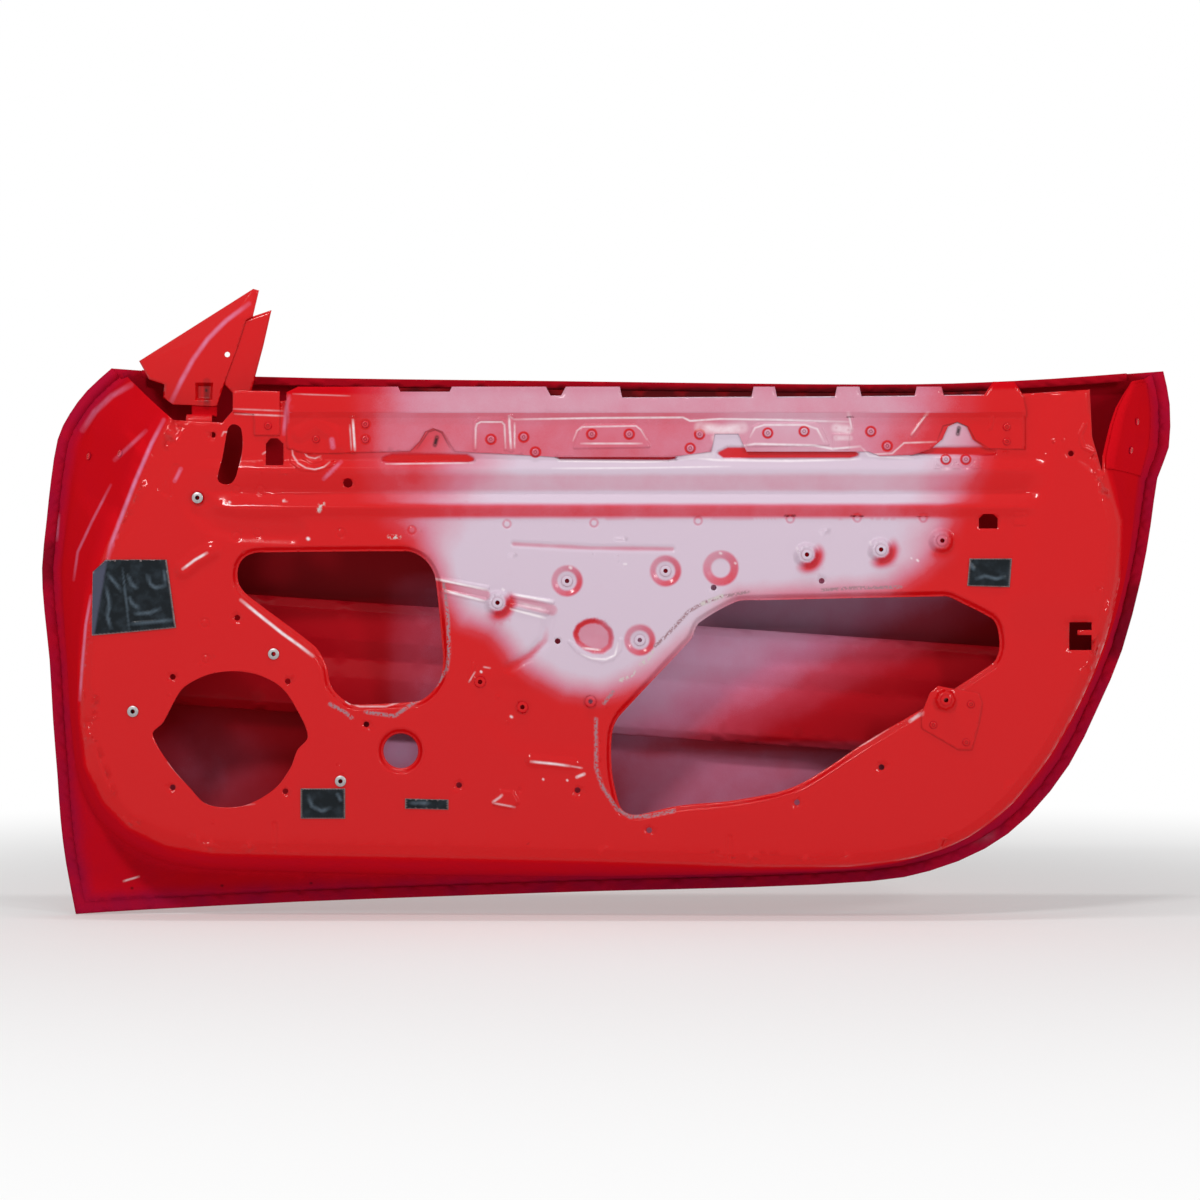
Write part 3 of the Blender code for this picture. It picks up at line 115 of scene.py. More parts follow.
class Nodes:
    """A node tree that is built up one node at a time."""

    def __init__(self, tree):
        self.tree = tree

    def put(self, value, socket):
        """Links an output to a socket, or sets the socket to a plain value."""
        if isinstance(value, bpy.types.NodeSocket):
            self.tree.links.new(value, socket)
        else:
            socket.default_value = value

    def add(self, kind, inputs=None, **settings):
        made = self.tree.nodes.new(kind)
        for key, value in settings.items():
            setattr(made, key, value)
        for key, value in (inputs or {}).items():
            self.put(value, made.inputs[key])
        return made

    def math(self, operation, a, b):
        return self.add("ShaderNodeMath", {0: a, 1: b}, operation=operation).outputs[0]

    def plus(self, a, b):
        return self.math("ADD", a, b)

    def times(self, a, b):
        return self.math("MULTIPLY", a, b)

    def rise(self, value, low, high):
        """Smooth rise from 0 at low to 1 at high."""
        inputs = {"Value": value, "From Min": low, "From Max": high}
        return self.add("ShaderNodeMapRange", inputs, interpolation_type="SMOOTHSTEP").outputs["Result"]

    def mix(self, factor, a, b):
        made = self.add("ShaderNodeMix", {0: factor}, data_type="RGBA")
        for place, colour in ((6, a), (7, b)):
            self.put(colour if isinstance(colour, bpy.types.NodeSocket) else (*colour, 1), made.inputs[place])
        return made.outputs[2]

    def noise(self, scale, detail):
        inputs = {"Scale": scale, "Detail": detail}
        inputs["Vector"] = self.add("ShaderNodeTexCoord").outputs["Object"]
        return self.add("ShaderNodeTexNoise", inputs).outputs["Fac"]

    def stirred(self, value, cloud, amount):
        """Value with a noise added whose mean is near zero."""
        return self.plus(value, self.times(self.math("SUBTRACT", cloud, 0.5), amount))

    def painted(self, name):
        return self.add("ShaderNodeAttribute", attribute_name=name).outputs["Fac"]

    def uneven(self, name, scale, detail, base):
        """Painted value times a noise that a base lifts."""
        return self.times(self.painted(name), self.plus(self.noise(scale, detail), base))

    def grains(self, name, scale, low, high):
        """Painted value where a noise is high, as separate grains."""
        return self.times(self.painted(name), self.rise(self.noise(scale, 3), low, high))

    def bump(self, height, strength, distance):
        inputs = {"Height": height, "Strength": strength, "Distance": distance}
        return self.add("ShaderNodeBump", inputs).outputs["Normal"]


def finish(name, roughness, specular=0.5):
    """Material whose tree is then built up, and its shader."""
    made = bpy.data.materials.new(name)
    made.use_nodes = True
    shader = made.node_tree.nodes["Principled BSDF"]
    shader.inputs["Roughness"].default_value = roughness
    shader.inputs["Specular IOR Level"].default_value = specular
    return made, shader, Nodes(made.node_tree)


RED = (0.600, 0.004, 0.006)
CRIMSON = (0.330, 0.006, 0.040)
GLEAM = (0.720, 0.330, 0.560)
SEALER = (0.330, 0.190, 0.220)
CHIP = (0.560, 0.500, 0.480)
SHINE = (0.860, 0.780, 0.820)
# Near black, painted as the shade in holes, bores and unlit gaps
SHADE_COLOUR = (0.008, 0.005, 0.006)
PAINT_SPECULAR = 0.22
DULL_INDEX = 1.14


def red_finish(name, gloss, index, colours):
    """Red paint with overspray, crimson rims, lilac sheen, sealer, chips, glints and painted shade in holes
    and gaps.
    """
    made, shader, nodes = finish(name, gloss, specular=PAINT_SPECULAR)
    cloud = nodes.noise(30, 3)
    haze = nodes.painted("haze")
    grainy = nodes.stirred(nodes.stirred(haze, cloud, 0.22), nodes.noise(1500, 1), 0.14)
    shown = nodes.times(grainy, nodes.rise(haze, 0.0, 0.15))
    ramp = nodes.add("ShaderNodeValToRGB", {"Fac": shown})
    while len(ramp.color_ramp.elements) < len(colours):
        ramp.color_ramp.elements.new(0.5)
    for element, (place, colour) in zip(ramp.color_ramp.elements, colours):
        element.position = place
        element.color = (*colour, 1)
    rim = nodes.times(nodes.painted("rim"), nodes.plus(cloud, 0.40))
    sealer = nodes.grains("sealer", 420, 0.36, 0.54)
    chip = nodes.grains("chip", 260, 0.43, 0.55)
    colour = ramp.outputs["Color"]
    # The last mix paints shade into holes, bores and gaps
    for factor, over in (
        (rim, CRIMSON), (nodes.uneven("gleam", 90, 2, 0.45), GLEAM), (sealer, SEALER), (chip, CHIP),
        (nodes.uneven("shine", 130, 2, 0.48), SHINE), (nodes.painted("painted_shade"), SHADE_COLOUR),
    ):
        colour = nodes.mix(factor, colour, over)
    # Off the face the paint mirrors less, or the white surroundings would wash it out
    away = nodes.rise(nodes.painted("rim"), 0.02, 0.10)
    refraction = nodes.math("SUBTRACT", index, nodes.times(away, index - DULL_INDEX))
    level = nodes.math("SUBTRACT", PAINT_SPECULAR, nodes.times(away, PAINT_SPECULAR))
    dull = nodes.plus(nodes.plus(gloss, nodes.times(shown, 0.14)), nodes.times(sealer, 0.45))
    rough = nodes.plus(nodes.times(sealer, 1.5), nodes.times(chip, 2.0))
    peel = nodes.bump(nodes.plus(nodes.noise(200, 2), rough), 0.08, 0.0006)
    for key, value in (
        ("Base Color", colour), ("IOR", refraction), ("Specular IOR Level", level),
        ("Roughness", dull), ("Normal", peel),
    ):
        nodes.put(value, shader.inputs[key])
    return made


panel_paint = red_finish("panel_paint", 0.12, 1.5, (
    (0.0, RED), (0.22, (0.600, 0.030, 0.045)), (0.50, (0.600, 0.190, 0.270)), (0.95, (0.620, 0.500, 0.600)),
))
inside_paint = red_finish("inside_paint", 0.34, 1.2, (
    (0.0, (0.420, 0.004, 0.010)), (0.35, (0.510, 0.045, 0.080)), (0.65, (0.590, 0.185, 0.310)),
    (1.0, (0.590, 0.390, 0.560)),
))


def tape_finish():
    made, shader, nodes = finish("wrinkled_tape", 0.17, specular=0.16)
    folds = nodes.noise(70, 4)
    colour = nodes.mix(nodes.rise(folds, 0.42, 0.75), (0.003, 0.006, 0.009), (0.016, 0.024, 0.032))
    colour = nodes.mix(nodes.painted("gleam"), colour, (0.075, 0.080, 0.125))
    colour = nodes.mix(nodes.uneven("shine", 160, 3, 0.25), colour, (0.130, 0.180, 0.230))
    # Paler colour on the tape's sides, spread by a noise
    pale_sides = nodes.times(nodes.painted("rim"), nodes.noise(500, 2))
    nodes.put(nodes.mix(pale_sides, colour, (0.480, 0.330, 0.330)), shader.inputs["Base Color"])
    nodes.put(nodes.bump(folds, 0.35, 0.0014), shader.inputs["Normal"])
    return made


ZINC_ROUGHNESS = 0.38


def steel_finish():
    made, shader, nodes = finish("zinc_steel", ZINC_ROUGHNESS)
    stain = nodes.noise(700, 3)
    # Painted shade in the bores: near black, not metal and rougher
    bore = nodes.rise(nodes.painted("painted_shade"), 0.02, 0.20)
    colour = nodes.mix(stain, (0.52, 0.50, 0.50), (0.27, 0.25, 0.26))
    nodes.put(nodes.mix(bore, colour, (0.010, 0.007, 0.008)), shader.inputs["Base Color"])
    nodes.put(nodes.math("SUBTRACT", 1.0, bore), shader.inputs["Metallic"])
    nodes.put(nodes.plus(ZINC_ROUGHNESS, nodes.times(bore, 0.5)), shader.inputs["Roughness"])
    nodes.put(nodes.bump(stain, 0.15, 0.0002), shader.inputs["Normal"])
    return made


black_tape = tape_finish()
zinc_steel = steel_finish()


# Measures on the face, whose points are given as x and z
def blend(low, high, value):
    t = np.clip((value - low) / (high - low), 0, 1)
    return t * t * (3 - 2 * t)


def fall(high, low, value):
    return 1 - blend(high, low, value)


def between(value, low, full_from, full_to, high):
    """Soft window that rises above low and falls again up to high."""
    return blend(low, full_from, value) * fall(full_to, high, value)


def spot_distance(points, spot):
    return np.hypot(points[:, 0] - spot[0], points[:, 1] - spot[1])


FAR = 9.0


def run_distance(points, run, closed, reach=FAR):
    """Distance of each point to a run, which past the reach is only known to be far."""
    corners = np.array([tuple(p) for p in run])
    starts, ends = corners, np.roll(corners, -1, axis=0)
    if not closed and len(corners) > 1:
        starts, ends = starts[:-1], ends[:-1]
    best = np.full(len(points), FAR)
    low, high = corners.min(axis=0) - reach, corners.max(axis=0) + reach
    close = np.all((points > low) & (points < high), axis=1)
    picked = points[close]
    nearest = np.full(len(picked), FAR)
    for start, end in zip(starts, ends):
        along = end - start
        away = picked - start
        share = np.clip(away @ along / max(along @ along, 1e-12), 0, 1)
        nearest = np.minimum(nearest, np.hypot(*(away - share[:, None] * along).T))
    best[close] = nearest
    return best


def curve_shift(points, loop, band):
    """Moves that turn a loop's straight sides into a smooth curve through its corners."""
    corners = np.array([tuple(p) for p in loop])
    side = np.roll(corners, -1, axis=0) - corners
    length = np.hypot(*side.T)[:, None]
    tangent = side * length + np.roll(side * length, 1, axis=0)
    tangent = tangent / np.hypot(*tangent.T)[:, None]
    best = np.full(len(points), FAR)
    near, share = np.zeros(len(points), int), np.zeros(len(points))
    for place in range(len(corners)):
        away = points - corners[place]
        t = np.clip(away @ side[place] / (side[place] @ side[place]), 0, 1)
        distance = np.hypot(*(away - t[:, None] * side[place]).T)
        closer = distance < best
        best[closer], near[closer], share[closer] = distance[closer], place, t[closer]
    t = share[:, None]
    leave = tangent[near] * length[near] - side[near]
    arrive = tangent[(near + 1) % len(corners)] * length[near] - side[near]
    bulge = t * (1 - t) ** 2 * leave - t * t * (1 - t) * arrive
    return bulge * fall(0, band, best)[:, None]


def inside(points, loop):
    """Whether each point lies inside a closed loop."""
    found = np.zeros(len(points), bool)
    for a, b in zip(loop, loop[1:] + loop[:1]):
        if a.y != b.y:
            spans = (a.y > points[:, 1]) != (b.y > points[:, 1])
            found ^= spans & (points[:, 0] < a.x + (points[:, 1] - a.y) * (b.x - a.x) / (b.y - a.y))
    return found


# The pressed rows under the belt: share of the height, and share of their depth
SWAGES = (
    (0.600, 0.0), (0.727, 0.0), (0.744, -0.6), (0.772, 1.0), (0.803, 0.0), (0.813, -0.15),
    (0.830, 0.55), (0.960, 0.55),
)
SWAGE_DEPTH = 0.007
SWAGE_STEP = 0.0005
REAR_RISE = 0.004
REAR_BLEND = 0.030


def pressed_rows(points, rounding):
    """The swages under the belt, faded out at both ends, and the raised rear."""
    height = (points[:, 1] - SHIFT.z) / HEIGHT
    steps, level = np.array(SWAGES).T
    if rounding:
        fine = np.arange(0.55, 1.05, SWAGE_STEP)
        reach = max(1, int(rounding / HEIGHT / SWAGE_STEP))
        kernel = np.hanning(2 * reach + 3)
        padded = np.pad(np.interp(fine, steps, level), reach + 1, mode="edge")
        steps, level = fine, np.convolve(padded, kernel / kernel.sum(), "valid")
    depth = SWAGE_DEPTH * np.interp(height, steps, level)
    x = points[:, 0] - SHIFT.x
    z = points[:, 1] - SHIFT.z
    top, foot = Vector((0.894 * LENGTH, 0.921 * HEIGHT)), Vector((0.857 * LENGTH, 0.596 * HEIGHT))
    line = foot.x + (z - foot.y) * (top.x - foot.x) / (top.y - foot.y)
    shown = blend(0.130 * LENGTH, 0.215 * LENGTH, x) * blend(0, REAR_BLEND, line - x)
    raised = blend(0, REAR_BLEND, x - line + REAR_BLEND) * blend(foot.y - 0.060, foot.y, z)
    return depth * shown - REAR_RISE * raised


# Loops on the face, in shares of the door's length and height
FRONT_OPENING = shared((
    (0.207, 0.664), (0.329, 0.666), (0.346, 0.650), (0.355, 0.614), (0.361, 0.488), (0.360, 0.443),
    (0.352, 0.413), (0.338, 0.395), (0.286, 0.389), (0.274, 0.402), (0.265, 0.425), (0.261, 0.461),
    (0.250, 0.497), (0.197, 0.581), (0.187, 0.605), (0.186, 0.635), (0.193, 0.657),
))
REAR_OPENING = shared((
    (0.610, 0.574), (0.631, 0.578), (0.789, 0.585), (0.803, 0.574), (0.829, 0.546), (0.835, 0.524),
    (0.836, 0.488), (0.829, 0.461), (0.776, 0.389), (0.725, 0.326), (0.665, 0.246), (0.614, 0.219),
    (0.563, 0.208), (0.529, 0.192), (0.516, 0.197), (0.510, 0.219), (0.505, 0.272), (0.505, 0.335),
    (0.512, 0.371), (0.572, 0.506), (0.580, 0.538),
))
SPEAKER = shared((
    (0.114, 0.335), (0.123, 0.359), (0.137, 0.413), (0.150, 0.434), (0.167, 0.447), (0.187, 0.450),
    (0.207, 0.441), (0.224, 0.420), (0.236, 0.384), (0.246, 0.335), (0.237, 0.308), (0.231, 0.276),
    (0.218, 0.240), (0.197, 0.213), (0.178, 0.206), (0.159, 0.213), (0.146, 0.240), (0.129, 0.281),
))
CORNER = shared((
    (0.131, 0.901), (0.123, 0.873), (0.114, 0.833), (0.105, 0.790), (0.093, 0.736), (0.079, 0.677),
    (0.068, 0.614), (0.060, 0.542), (0.055, 0.461), (0.055, 0.362), (0.060, 0.281), (0.074, 0.219),
    (0.095, 0.174), (0.125, 0.143), (0.163, 0.129), (0.240, 0.125), (0.367, 0.120), (0.495, 0.114),
    (0.623, 0.105), (0.708, 0.105), (0.763, 0.120), (0.806, 0.152), (0.844, 0.213), (0.876, 0.299),
    (0.902, 0.398), (0.921, 0.497), (0.933, 0.614), (0.935, 0.717), (0.923, 0.806),
))
FACE = CORNER + shared((
    (0.914, 0.870), (0.912, 0.955), (0.857, 0.948), (0.751, 0.944), (0.495, 0.941), (0.231, 0.937),
    (0.185, 0.925), (0.173, 0.896), (0.141, 0.899),
))
HEM = shared((
    (0.067, 1.005), (0.045, 0.964), (0.029, 0.921), (0.018, 0.875), (0.011, 0.801), (0.006, 0.726),
    (0.001, 0.637), (0.003, 0.559), (0.008, 0.467), (0.012, 0.355), (0.017, 0.253), (0.021, 0.170),
    (0.027, 0.092), (0.037, 0.001), (0.099, 0.008), (0.231, 0.021), (0.363, 0.031), (0.495, 0.040),
    (0.627, 0.047), (0.733, 0.058), (0.785, 0.077), (0.834, 0.118), (0.873, 0.179), (0.909, 0.272),
    (0.935, 0.378), (0.957, 0.485), (0.974, 0.615), (0.983, 0.717), (0.989, 0.805), (0.998, 0.862),
    (0.996, 0.940), (0.988, 0.999),
))
ROUND_HOLE_CENTRE = shared(((0.325, 0.307),))[0]
ROUND_HOLE = [
    ROUND_HOLE_CENTRE + 0.020 * Vector((math.cos(turn / 7 * math.pi), math.sin(turn / 7 * math.pi)))
    for turn in range(14)
]
FRONT_SLOT = shared((
    (0.183, 0.893), (0.189, 0.884), (0.190, 0.850), (0.186, 0.808), (0.181, 0.788), (0.173, 0.786),
    (0.169, 0.796), (0.173, 0.832), (0.176, 0.868), (0.178, 0.886),
))
LIPPED = (FRONT_OPENING, REAR_OPENING, ROUND_HOLE)
OPENINGS = (*LIPPED, SPEAKER)
LIP_DEPTH = 0.006
LIP_WIDTH = 0.007

# Seats of the nuts: place in shares, then radius and drop towards the skin
FLANGE_RADIUS = 0.0085
FLAT, BOSS, DISH = (0.0130, 0.0), (0.0150, -0.0075), (0.0175, 0.0025)
SEATS = (
    ((0.152, 0.761), FLAT), ((0.217, 0.481), FLAT), ((0.097, 0.378), FLAT), ((0.274, 0.253), FLAT),
    ((0.408, 0.573), BOSS), ((0.467, 0.612), DISH), ((0.551, 0.630), DISH), ((0.529, 0.506), DISH),
    ((0.393, 0.431), FLAT), ((0.429, 0.386), FLAT), ((0.487, 0.396), FLAT), ((0.671, 0.659), BOSS),
    ((0.734, 0.668), BOSS), ((0.786, 0.684), BOSS), ((0.790, 0.830), FLAT), ((0.807, 0.830), FLAT),
    ((0.598, 0.635), (0.0200, 0.0025)),
)


def relief(points, rounding):
    """Depth of the face with its rows, lips and seats."""
    depth = pressed_rows(points, rounding)
    for loop in LIPPED:
        away = run_distance(points, loop, True, LIP_WIDTH + 0.001)
        depth = depth + LIP_DEPTH * fall(0, LIP_WIDTH, away)
    for place, (radius, drop) in SEATS:
        centre = shared((place,))[0]
        flat = pressed_rows(np.array([tuple(centre)]), 0)[0] + drop
        kept = blend(FLANGE_RADIUS, radius, spot_distance(points, centre))
        depth = depth * kept + flat * (1 - kept)
    return depth


def graded(size, away, fine, reach):
    """Size of the edges round a finely cut place, which grows slowly away from it."""
    return np.minimum(size, fine + 0.5 * np.maximum(0, away - reach))


def mark_distance(points, table, reach, closed=False):
    return run_distance(points, seen_all(table), closed, reach)


# How far past its reach a finely cut place still counts
GRADED_BAND = 0.016


def graded_marks(size, points, *tables):
    for table in tables:
        for run, half, strength in table:
            reach = (half + 1.0) * PIXEL
            away = mark_distance(points, run, reach + GRADED_BAND)
            size = graded(size, away, 0.0009, reach)
    return size


# Small pressed forms: kind, points in the photograph, half width, fade and depth in metres
WIDE_DISH = (
    (581, 634), (583, 630), (588, 627), (594, 626), (600, 628), (605, 633), (606, 638), (605, 643),
    (601, 646), (595, 646), (588, 643), (583, 639),
)
LONG_GROOVE = ((514, 544), (590, 548), (672, 549))
FORMS = (
    ("line", ((198, 505), (215, 521), (240, 529), (292, 531)), 0.006, 0.014, 0.0030),
    ("line", ((441, 580), (487, 588)), 0.0010, 0.0030, -0.0022),
    ("line", ((442, 591), (484, 600)), 0.0010, 0.0030, -0.0022),
    ("line", ((513, 596), (552, 602)), 0.0010, 0.0030, -0.0020),
    ("line", ((513, 606), (547, 613)), 0.0010, 0.0030, -0.0022),
    ("line", ((549, 618), (545, 640), (530, 656), (510, 667)), 0.0020, 0.0080, 0.0024),
    ("fill", WIDE_DISH, 0.0032, 0.0066, 0.0046),
    ("line", ((570, 642), (577, 650), (588, 657), (602, 661), (613, 658), (620, 649), (621, 640)),
     0.0008, 0.0028, -0.0010),
    ("line", ((531, 760), (574, 764)), 0.002, 0.006, -0.0022),
    ("fill", ((495, 803), (501, 792), (512, 793), (517, 802), (510, 806)), 0.0005, 0.0035, -0.0024),
    ("line", LONG_GROOVE, 0.0010, 0.0045, 0.0014),
    ("line", ((293, 447), (292, 461), (302, 469), (318, 470), (333, 463)), 0.0010, 0.0025, -0.0013),
    ("line", ((303, 449), (304, 458), (312, 462), (322, 460)), 0.0008, 0.0022, -0.0010),
    ("line", ((1084, 425), (1079, 435), (1082, 447), (1092, 452)), 0.0010, 0.0025, -0.0014),
    ("line", ((184, 570), (197, 559), (212, 551)), 0.003, 0.010, -0.0038),
    ("line", ((474, 664), (470, 680)), 0.0008, 0.0025, -0.0010),
    ("fill", ((500, 692), (560, 700), (600, 716), (590, 742), (520, 738), (490, 716)), 0.001, 0.020, 0.0016),
    ("fill", ((1015, 515), (1024, 515), (1024, 524), (1015, 524)), 0.0005, 0.0025, -0.0008),
    ("fill", ((936, 459), (977, 459), (977, 467), (936, 467)), 0.0005, 0.0028, -0.0016),
    ("line", ((275, 824), (275, 846)), 0.0010, 0.0030, 0.0009),
    ("line", ((730, 837), (730, 859)), 0.0010, 0.0030, 0.0009),
    ("line", ((176, 468), (166, 492)), 0.0020, 0.0040, 0.0008),
)
# The recesses under the belt reinforcement, which stay red
TROUGHS = (
    ((384, 459), (392, 456), (466, 456), (472, 459), (468, 460), (388, 460)),
    ((557, 455), (562, 453), (668, 453), (674, 457), (668, 458), (560, 457)),
    ((720, 453), (728, 449), (850, 449), (857, 454), (850, 456), (724, 456)),
    ((908, 450), (914, 449), (984, 449), (994, 452), (986, 453), (912, 452)),
)
# Spots of small marks, and runs of sealer round the openings and of chipped paint
WELDS = (
    (412, 530), (507, 524), (594, 523), (698, 521), (790, 519), (857, 518), (923, 518), (236, 490),
    (260, 490), (236, 536), (257, 533), (341, 533), (205, 623), (206, 659),
)
SPECKS = (
    (283, 473), (287, 473), (230, 502), (284, 501), (308, 539), (245, 554), (262, 472), (498, 697),
    (343, 772), (341, 776), (1045, 455), (1062, 440), (127, 822), (213, 822),
)
SEALER_RUNS = (
    ((444, 583), (448, 617), (449, 652), (447, 669), (437, 684), (420, 698), (395, 716), (366, 712)),
    ((596, 719), (596, 767), (602, 786), (617, 809), (630, 817), (650, 816), (674, 811)),
    ((748, 592), (720, 597), (703, 603), (688, 612), (667, 635), (655, 646)),
    ((822, 590), (850, 588), (900, 587)), ((613, 692), (604, 703)), ((330, 704), (345, 712), (352, 718)),
)
CHIPS = (
    ((652, 652), (646, 661), (641, 664)), ((634, 672), (629, 677), (621, 680)), ((390, 537), (399, 537)),
    ((319, 511), (323, 504)), ((702, 604), (722, 596)),
)
# Lilac sheen of the studio on the sharp bends: line, half width in the photograph's pixels and strength
UPPER_GLEAMS = (
    (((164, 420), (152, 443), (136, 480), (120, 521), (111, 545), (108, 558)), 2.2, 0.62),
    (((249, 304), (226, 321), (208, 339), (193, 360), (181, 382), (172, 401)), 2.6, 0.50),
    (((289, 396), (286, 412), (284, 434)), 2.0, 0.45),
)
GLEAMS = UPPER_GLEAMS + (
    (((181, 469), (175, 481)), 2.0, 0.45),
    (((131, 385), (112, 396), (95, 412), (83, 430)), 3.4, 0.32),
    (((146, 431), (130, 446), (115, 460)), 2.2, 0.26),
    (((341, 462), (324, 479)), 2.0, 0.42),
    (((332, 440), (333, 447)), 3.0, 0.40),
    (((111, 485), (92, 522), (78, 552), (74, 580)), 1.2, 0.34),
    (((91, 596), (86, 625), (82, 672), (80, 700)), 1.3, 0.50),
    (((59, 515), (57, 540)), 1.5, 0.35),
)
# White glints of the lamps on the panel's lips and ridges, and then on the belt reinforcement
SHINES = (
    (((241, 600), (258, 614), (282, 633), (300, 646), (313, 656)), 1.5, 0.90),
    (((183, 569), (195, 560), (207, 553)), 1.2, 0.80),
    (((531, 761.5), (556, 764), (570, 766)), 1.0, 0.85),
    (((570, 766), (582, 768)), 0.5, 0.50),
    (((436, 579), (441, 580), (485, 589.5), (489, 590.5)), 1.1, 1.0),
    (((446, 591), (484, 601)), 1.1, 1.0),
    (((514, 594.5), (553, 601.5)), 1.0, 0.95),
    (((511, 609), (545, 618)), 1.1, 1.0),
    (((520, 604), (544, 609.5)), 2.4, 0.40),
    (((583, 648), (600, 650)), 0.9, 0.80),
    (((581, 654), (592, 658.5), (606, 659.5), (615, 655), (618, 643)), 0.7, 0.80),
    (((386, 464), (473, 463)), 0.5, 0.60),
    (((552.5, 449), (554, 456), (559, 461), (640, 462), (676, 461)), 0.7, 0.70),
    (((678, 460), (697, 458), (716, 460), (790, 461), (860, 459)), 1.2, 0.70),
    (((860, 446), (869, 456), (913, 459)), 0.6, 0.50),
    (((686, 455), (712, 455)), 4.0, 0.40),
    (((552, 468.5), (640, 468), (730, 466.5)), 0.7, 0.60),
    (((641, 804.5), (663, 804.5), (700, 801), (736, 797.5)), 0.9, 0.85),
    (((736, 797.5), (769, 785), (810, 764), (865, 743.5), (888, 729)), 0.5, 0.35),
    (((910, 721), (920, 714)), 1.8, 0.60),
    (((347, 701), (350, 703)), 1.6, 0.80),
    (((350, 703), (360, 706.5), (386, 706.5), (420, 695)), 0.6, 0.45),
    (((168, 762), (180, 776), (196, 791.5)), 0.4, 0.40),
    (((204.6, 802), (230, 806), (255, 804)), 0.4, 0.25),
    (((124, 881), (139, 876.5)), 0.7, 0.60),
    (((308, 538.5), (308.5, 539)), 1.6, 0.90), (((229.5, 502), (230, 502.5)), 0.9, 0.85),
    (((284, 501), (284.5, 501.5)), 1.3, 0.90), (((306, 425.5), (306.5, 426)), 1.0, 0.80),
    (((570, 567.5), (571, 568)), 1.4, 0.85), (((502.5, 589), (504, 590)), 1.0, 0.70),
    (((511, 716.5), (512, 717)), 1.0, 0.85), (((481, 671.5), (481.5, 672)), 0.9, 0.80),
    (((475, 672), (469, 682)), 0.3, 0.50), (((484, 667), (490, 668)), 0.5, 0.40),
    (((493, 802), (500, 797), (502, 795)), 0.9, 0.70), (((493, 803), (515, 807)), 0.5, 0.55),
    (((577, 777), (584, 774)), 1.4, 0.70), (((543, 779), (543.5, 779.5)), 0.7, 0.70),
    (((567, 780), (567.5, 780.5)), 0.7, 0.70), (((624, 564), (626, 564)), 1.0, 0.60),
    (((797, 548), (798, 552)), 1.3, 0.50), (((870, 542), (871, 545)), 1.2, 0.40),
    (((720, 553), (721, 553.5)), 1.1, 0.60), (((735, 563), (735.5, 563.5)), 0.9, 0.70),
    (((917, 560), (918, 561)), 0.9, 0.70), (((911, 558), (911.5, 558.5)), 0.6, 0.60),
    (((292, 447), (293, 455), (298, 463), (306, 468), (315, 469.5), (324, 467), (330, 462)), 0.4, 0.50),
    (((303, 446), (304, 452), (308, 457), (315, 458.5), (321, 456)), 0.3, 0.40),
    (((263, 454), (266, 452), (271, 455)), 0.5, 0.45),
    (((222, 436), (224, 432), (240, 433)), 0.4, 0.45),
    (((218, 476), (222, 482), (231, 480), (240, 462), (242, 442), (237, 430)), 0.4, 0.45),
    (((235, 414), (284, 416)), 0.4, 0.45), (((233, 409), (283, 411)), 0.3, 0.30),
)
BELT_SHINES = (
    (((475.5, 448), (475.8, 428), (477, 424), (481, 422), (502, 422), (504.5, 425), (505.5, 448)), 0.6, 0.60),
    (((509, 416), (511, 448)), 0.9, 0.80), (((514.6, 423), (514.6, 448)), 0.5, 0.70),
    (((509, 416), (514, 419.5), (600, 418), (683, 417.5), (690, 421), (720, 419), (780, 420), (850, 422)),
     0.7, 0.75),
    (((353, 420), (355, 450)), 0.9, 0.85), (((350, 425), (351.5, 450)), 0.4, 0.45),
    (((573, 441), (577, 431), (582, 427), (636, 426), (641, 430), (647, 440)), 0.5, 0.55),
    (((581, 443.6), (642, 443.6)), 0.7, 0.60),
    (((750, 437), (755, 428), (764, 425), (805, 425), (817, 429), (824, 442)), 0.7, 0.65),
    (((739, 446.5), (755, 444), (814, 445.5), (833, 449), (860, 446.5)), 1.0, 0.75),
    (((860, 446.5), (869, 454.5), (892, 453.5), (904, 443), (936, 442)), 0.5, 0.50),
    (((848, 412), (852, 430)), 0.6, 0.60), (((928, 412), (911, 435)), 0.5, 0.60),
    (((700, 427), (722, 430), (742, 428)), 7.0, 0.60), (((716, 438), (735, 440)), 6.0, 0.50),
    (((836, 428), (848, 430)), 6.0, 0.50), (((836, 438), (850, 438)), 3.0, 0.40),
    (((293, 394), (350, 396)), 0.3, 0.25),
)
# Painted shade: holes in the belt's recesses and the edges of their lobes, small holes in the lower hem, and
# the mirror plate's square
BELT_SHADE_MARKS = (
    (((437, 437.5), (435, 445)), 2.4, 0.95), (((958.8, 428), (957.6, 434)), 2.4, 0.90),
    (((417, 449), (428.5, 432), (435.5, 430), (442, 433), (450, 448)), 0.2, 0.55),
    (((937, 441), (943, 426), (957, 422.5), (968, 427), (975, 440), (991, 450)), 0.2, 0.55),
)
HEM_HOLE_SHADE = (
    (((132, 888), (132.5, 888)), 1.2, 0.70), (((222, 885.5), (222.5, 885.5)), 1.2, 0.70),
    (((311, 883), (311.5, 883)), 1.2, 0.60),
)
MIRROR_SHADE_MARKS = (
    (((206.5, 390), (206.5, 391)), 2.2, 0.95), (((207, 382), (207, 406)), 4.5, 0.60),
    (((200, 384), (200, 404)), 2.5, 0.25),
)
SHADE_MARKS = BELT_SHADE_MARKS + HEM_HOLE_SHADE + MIRROR_SHADE_MARKS


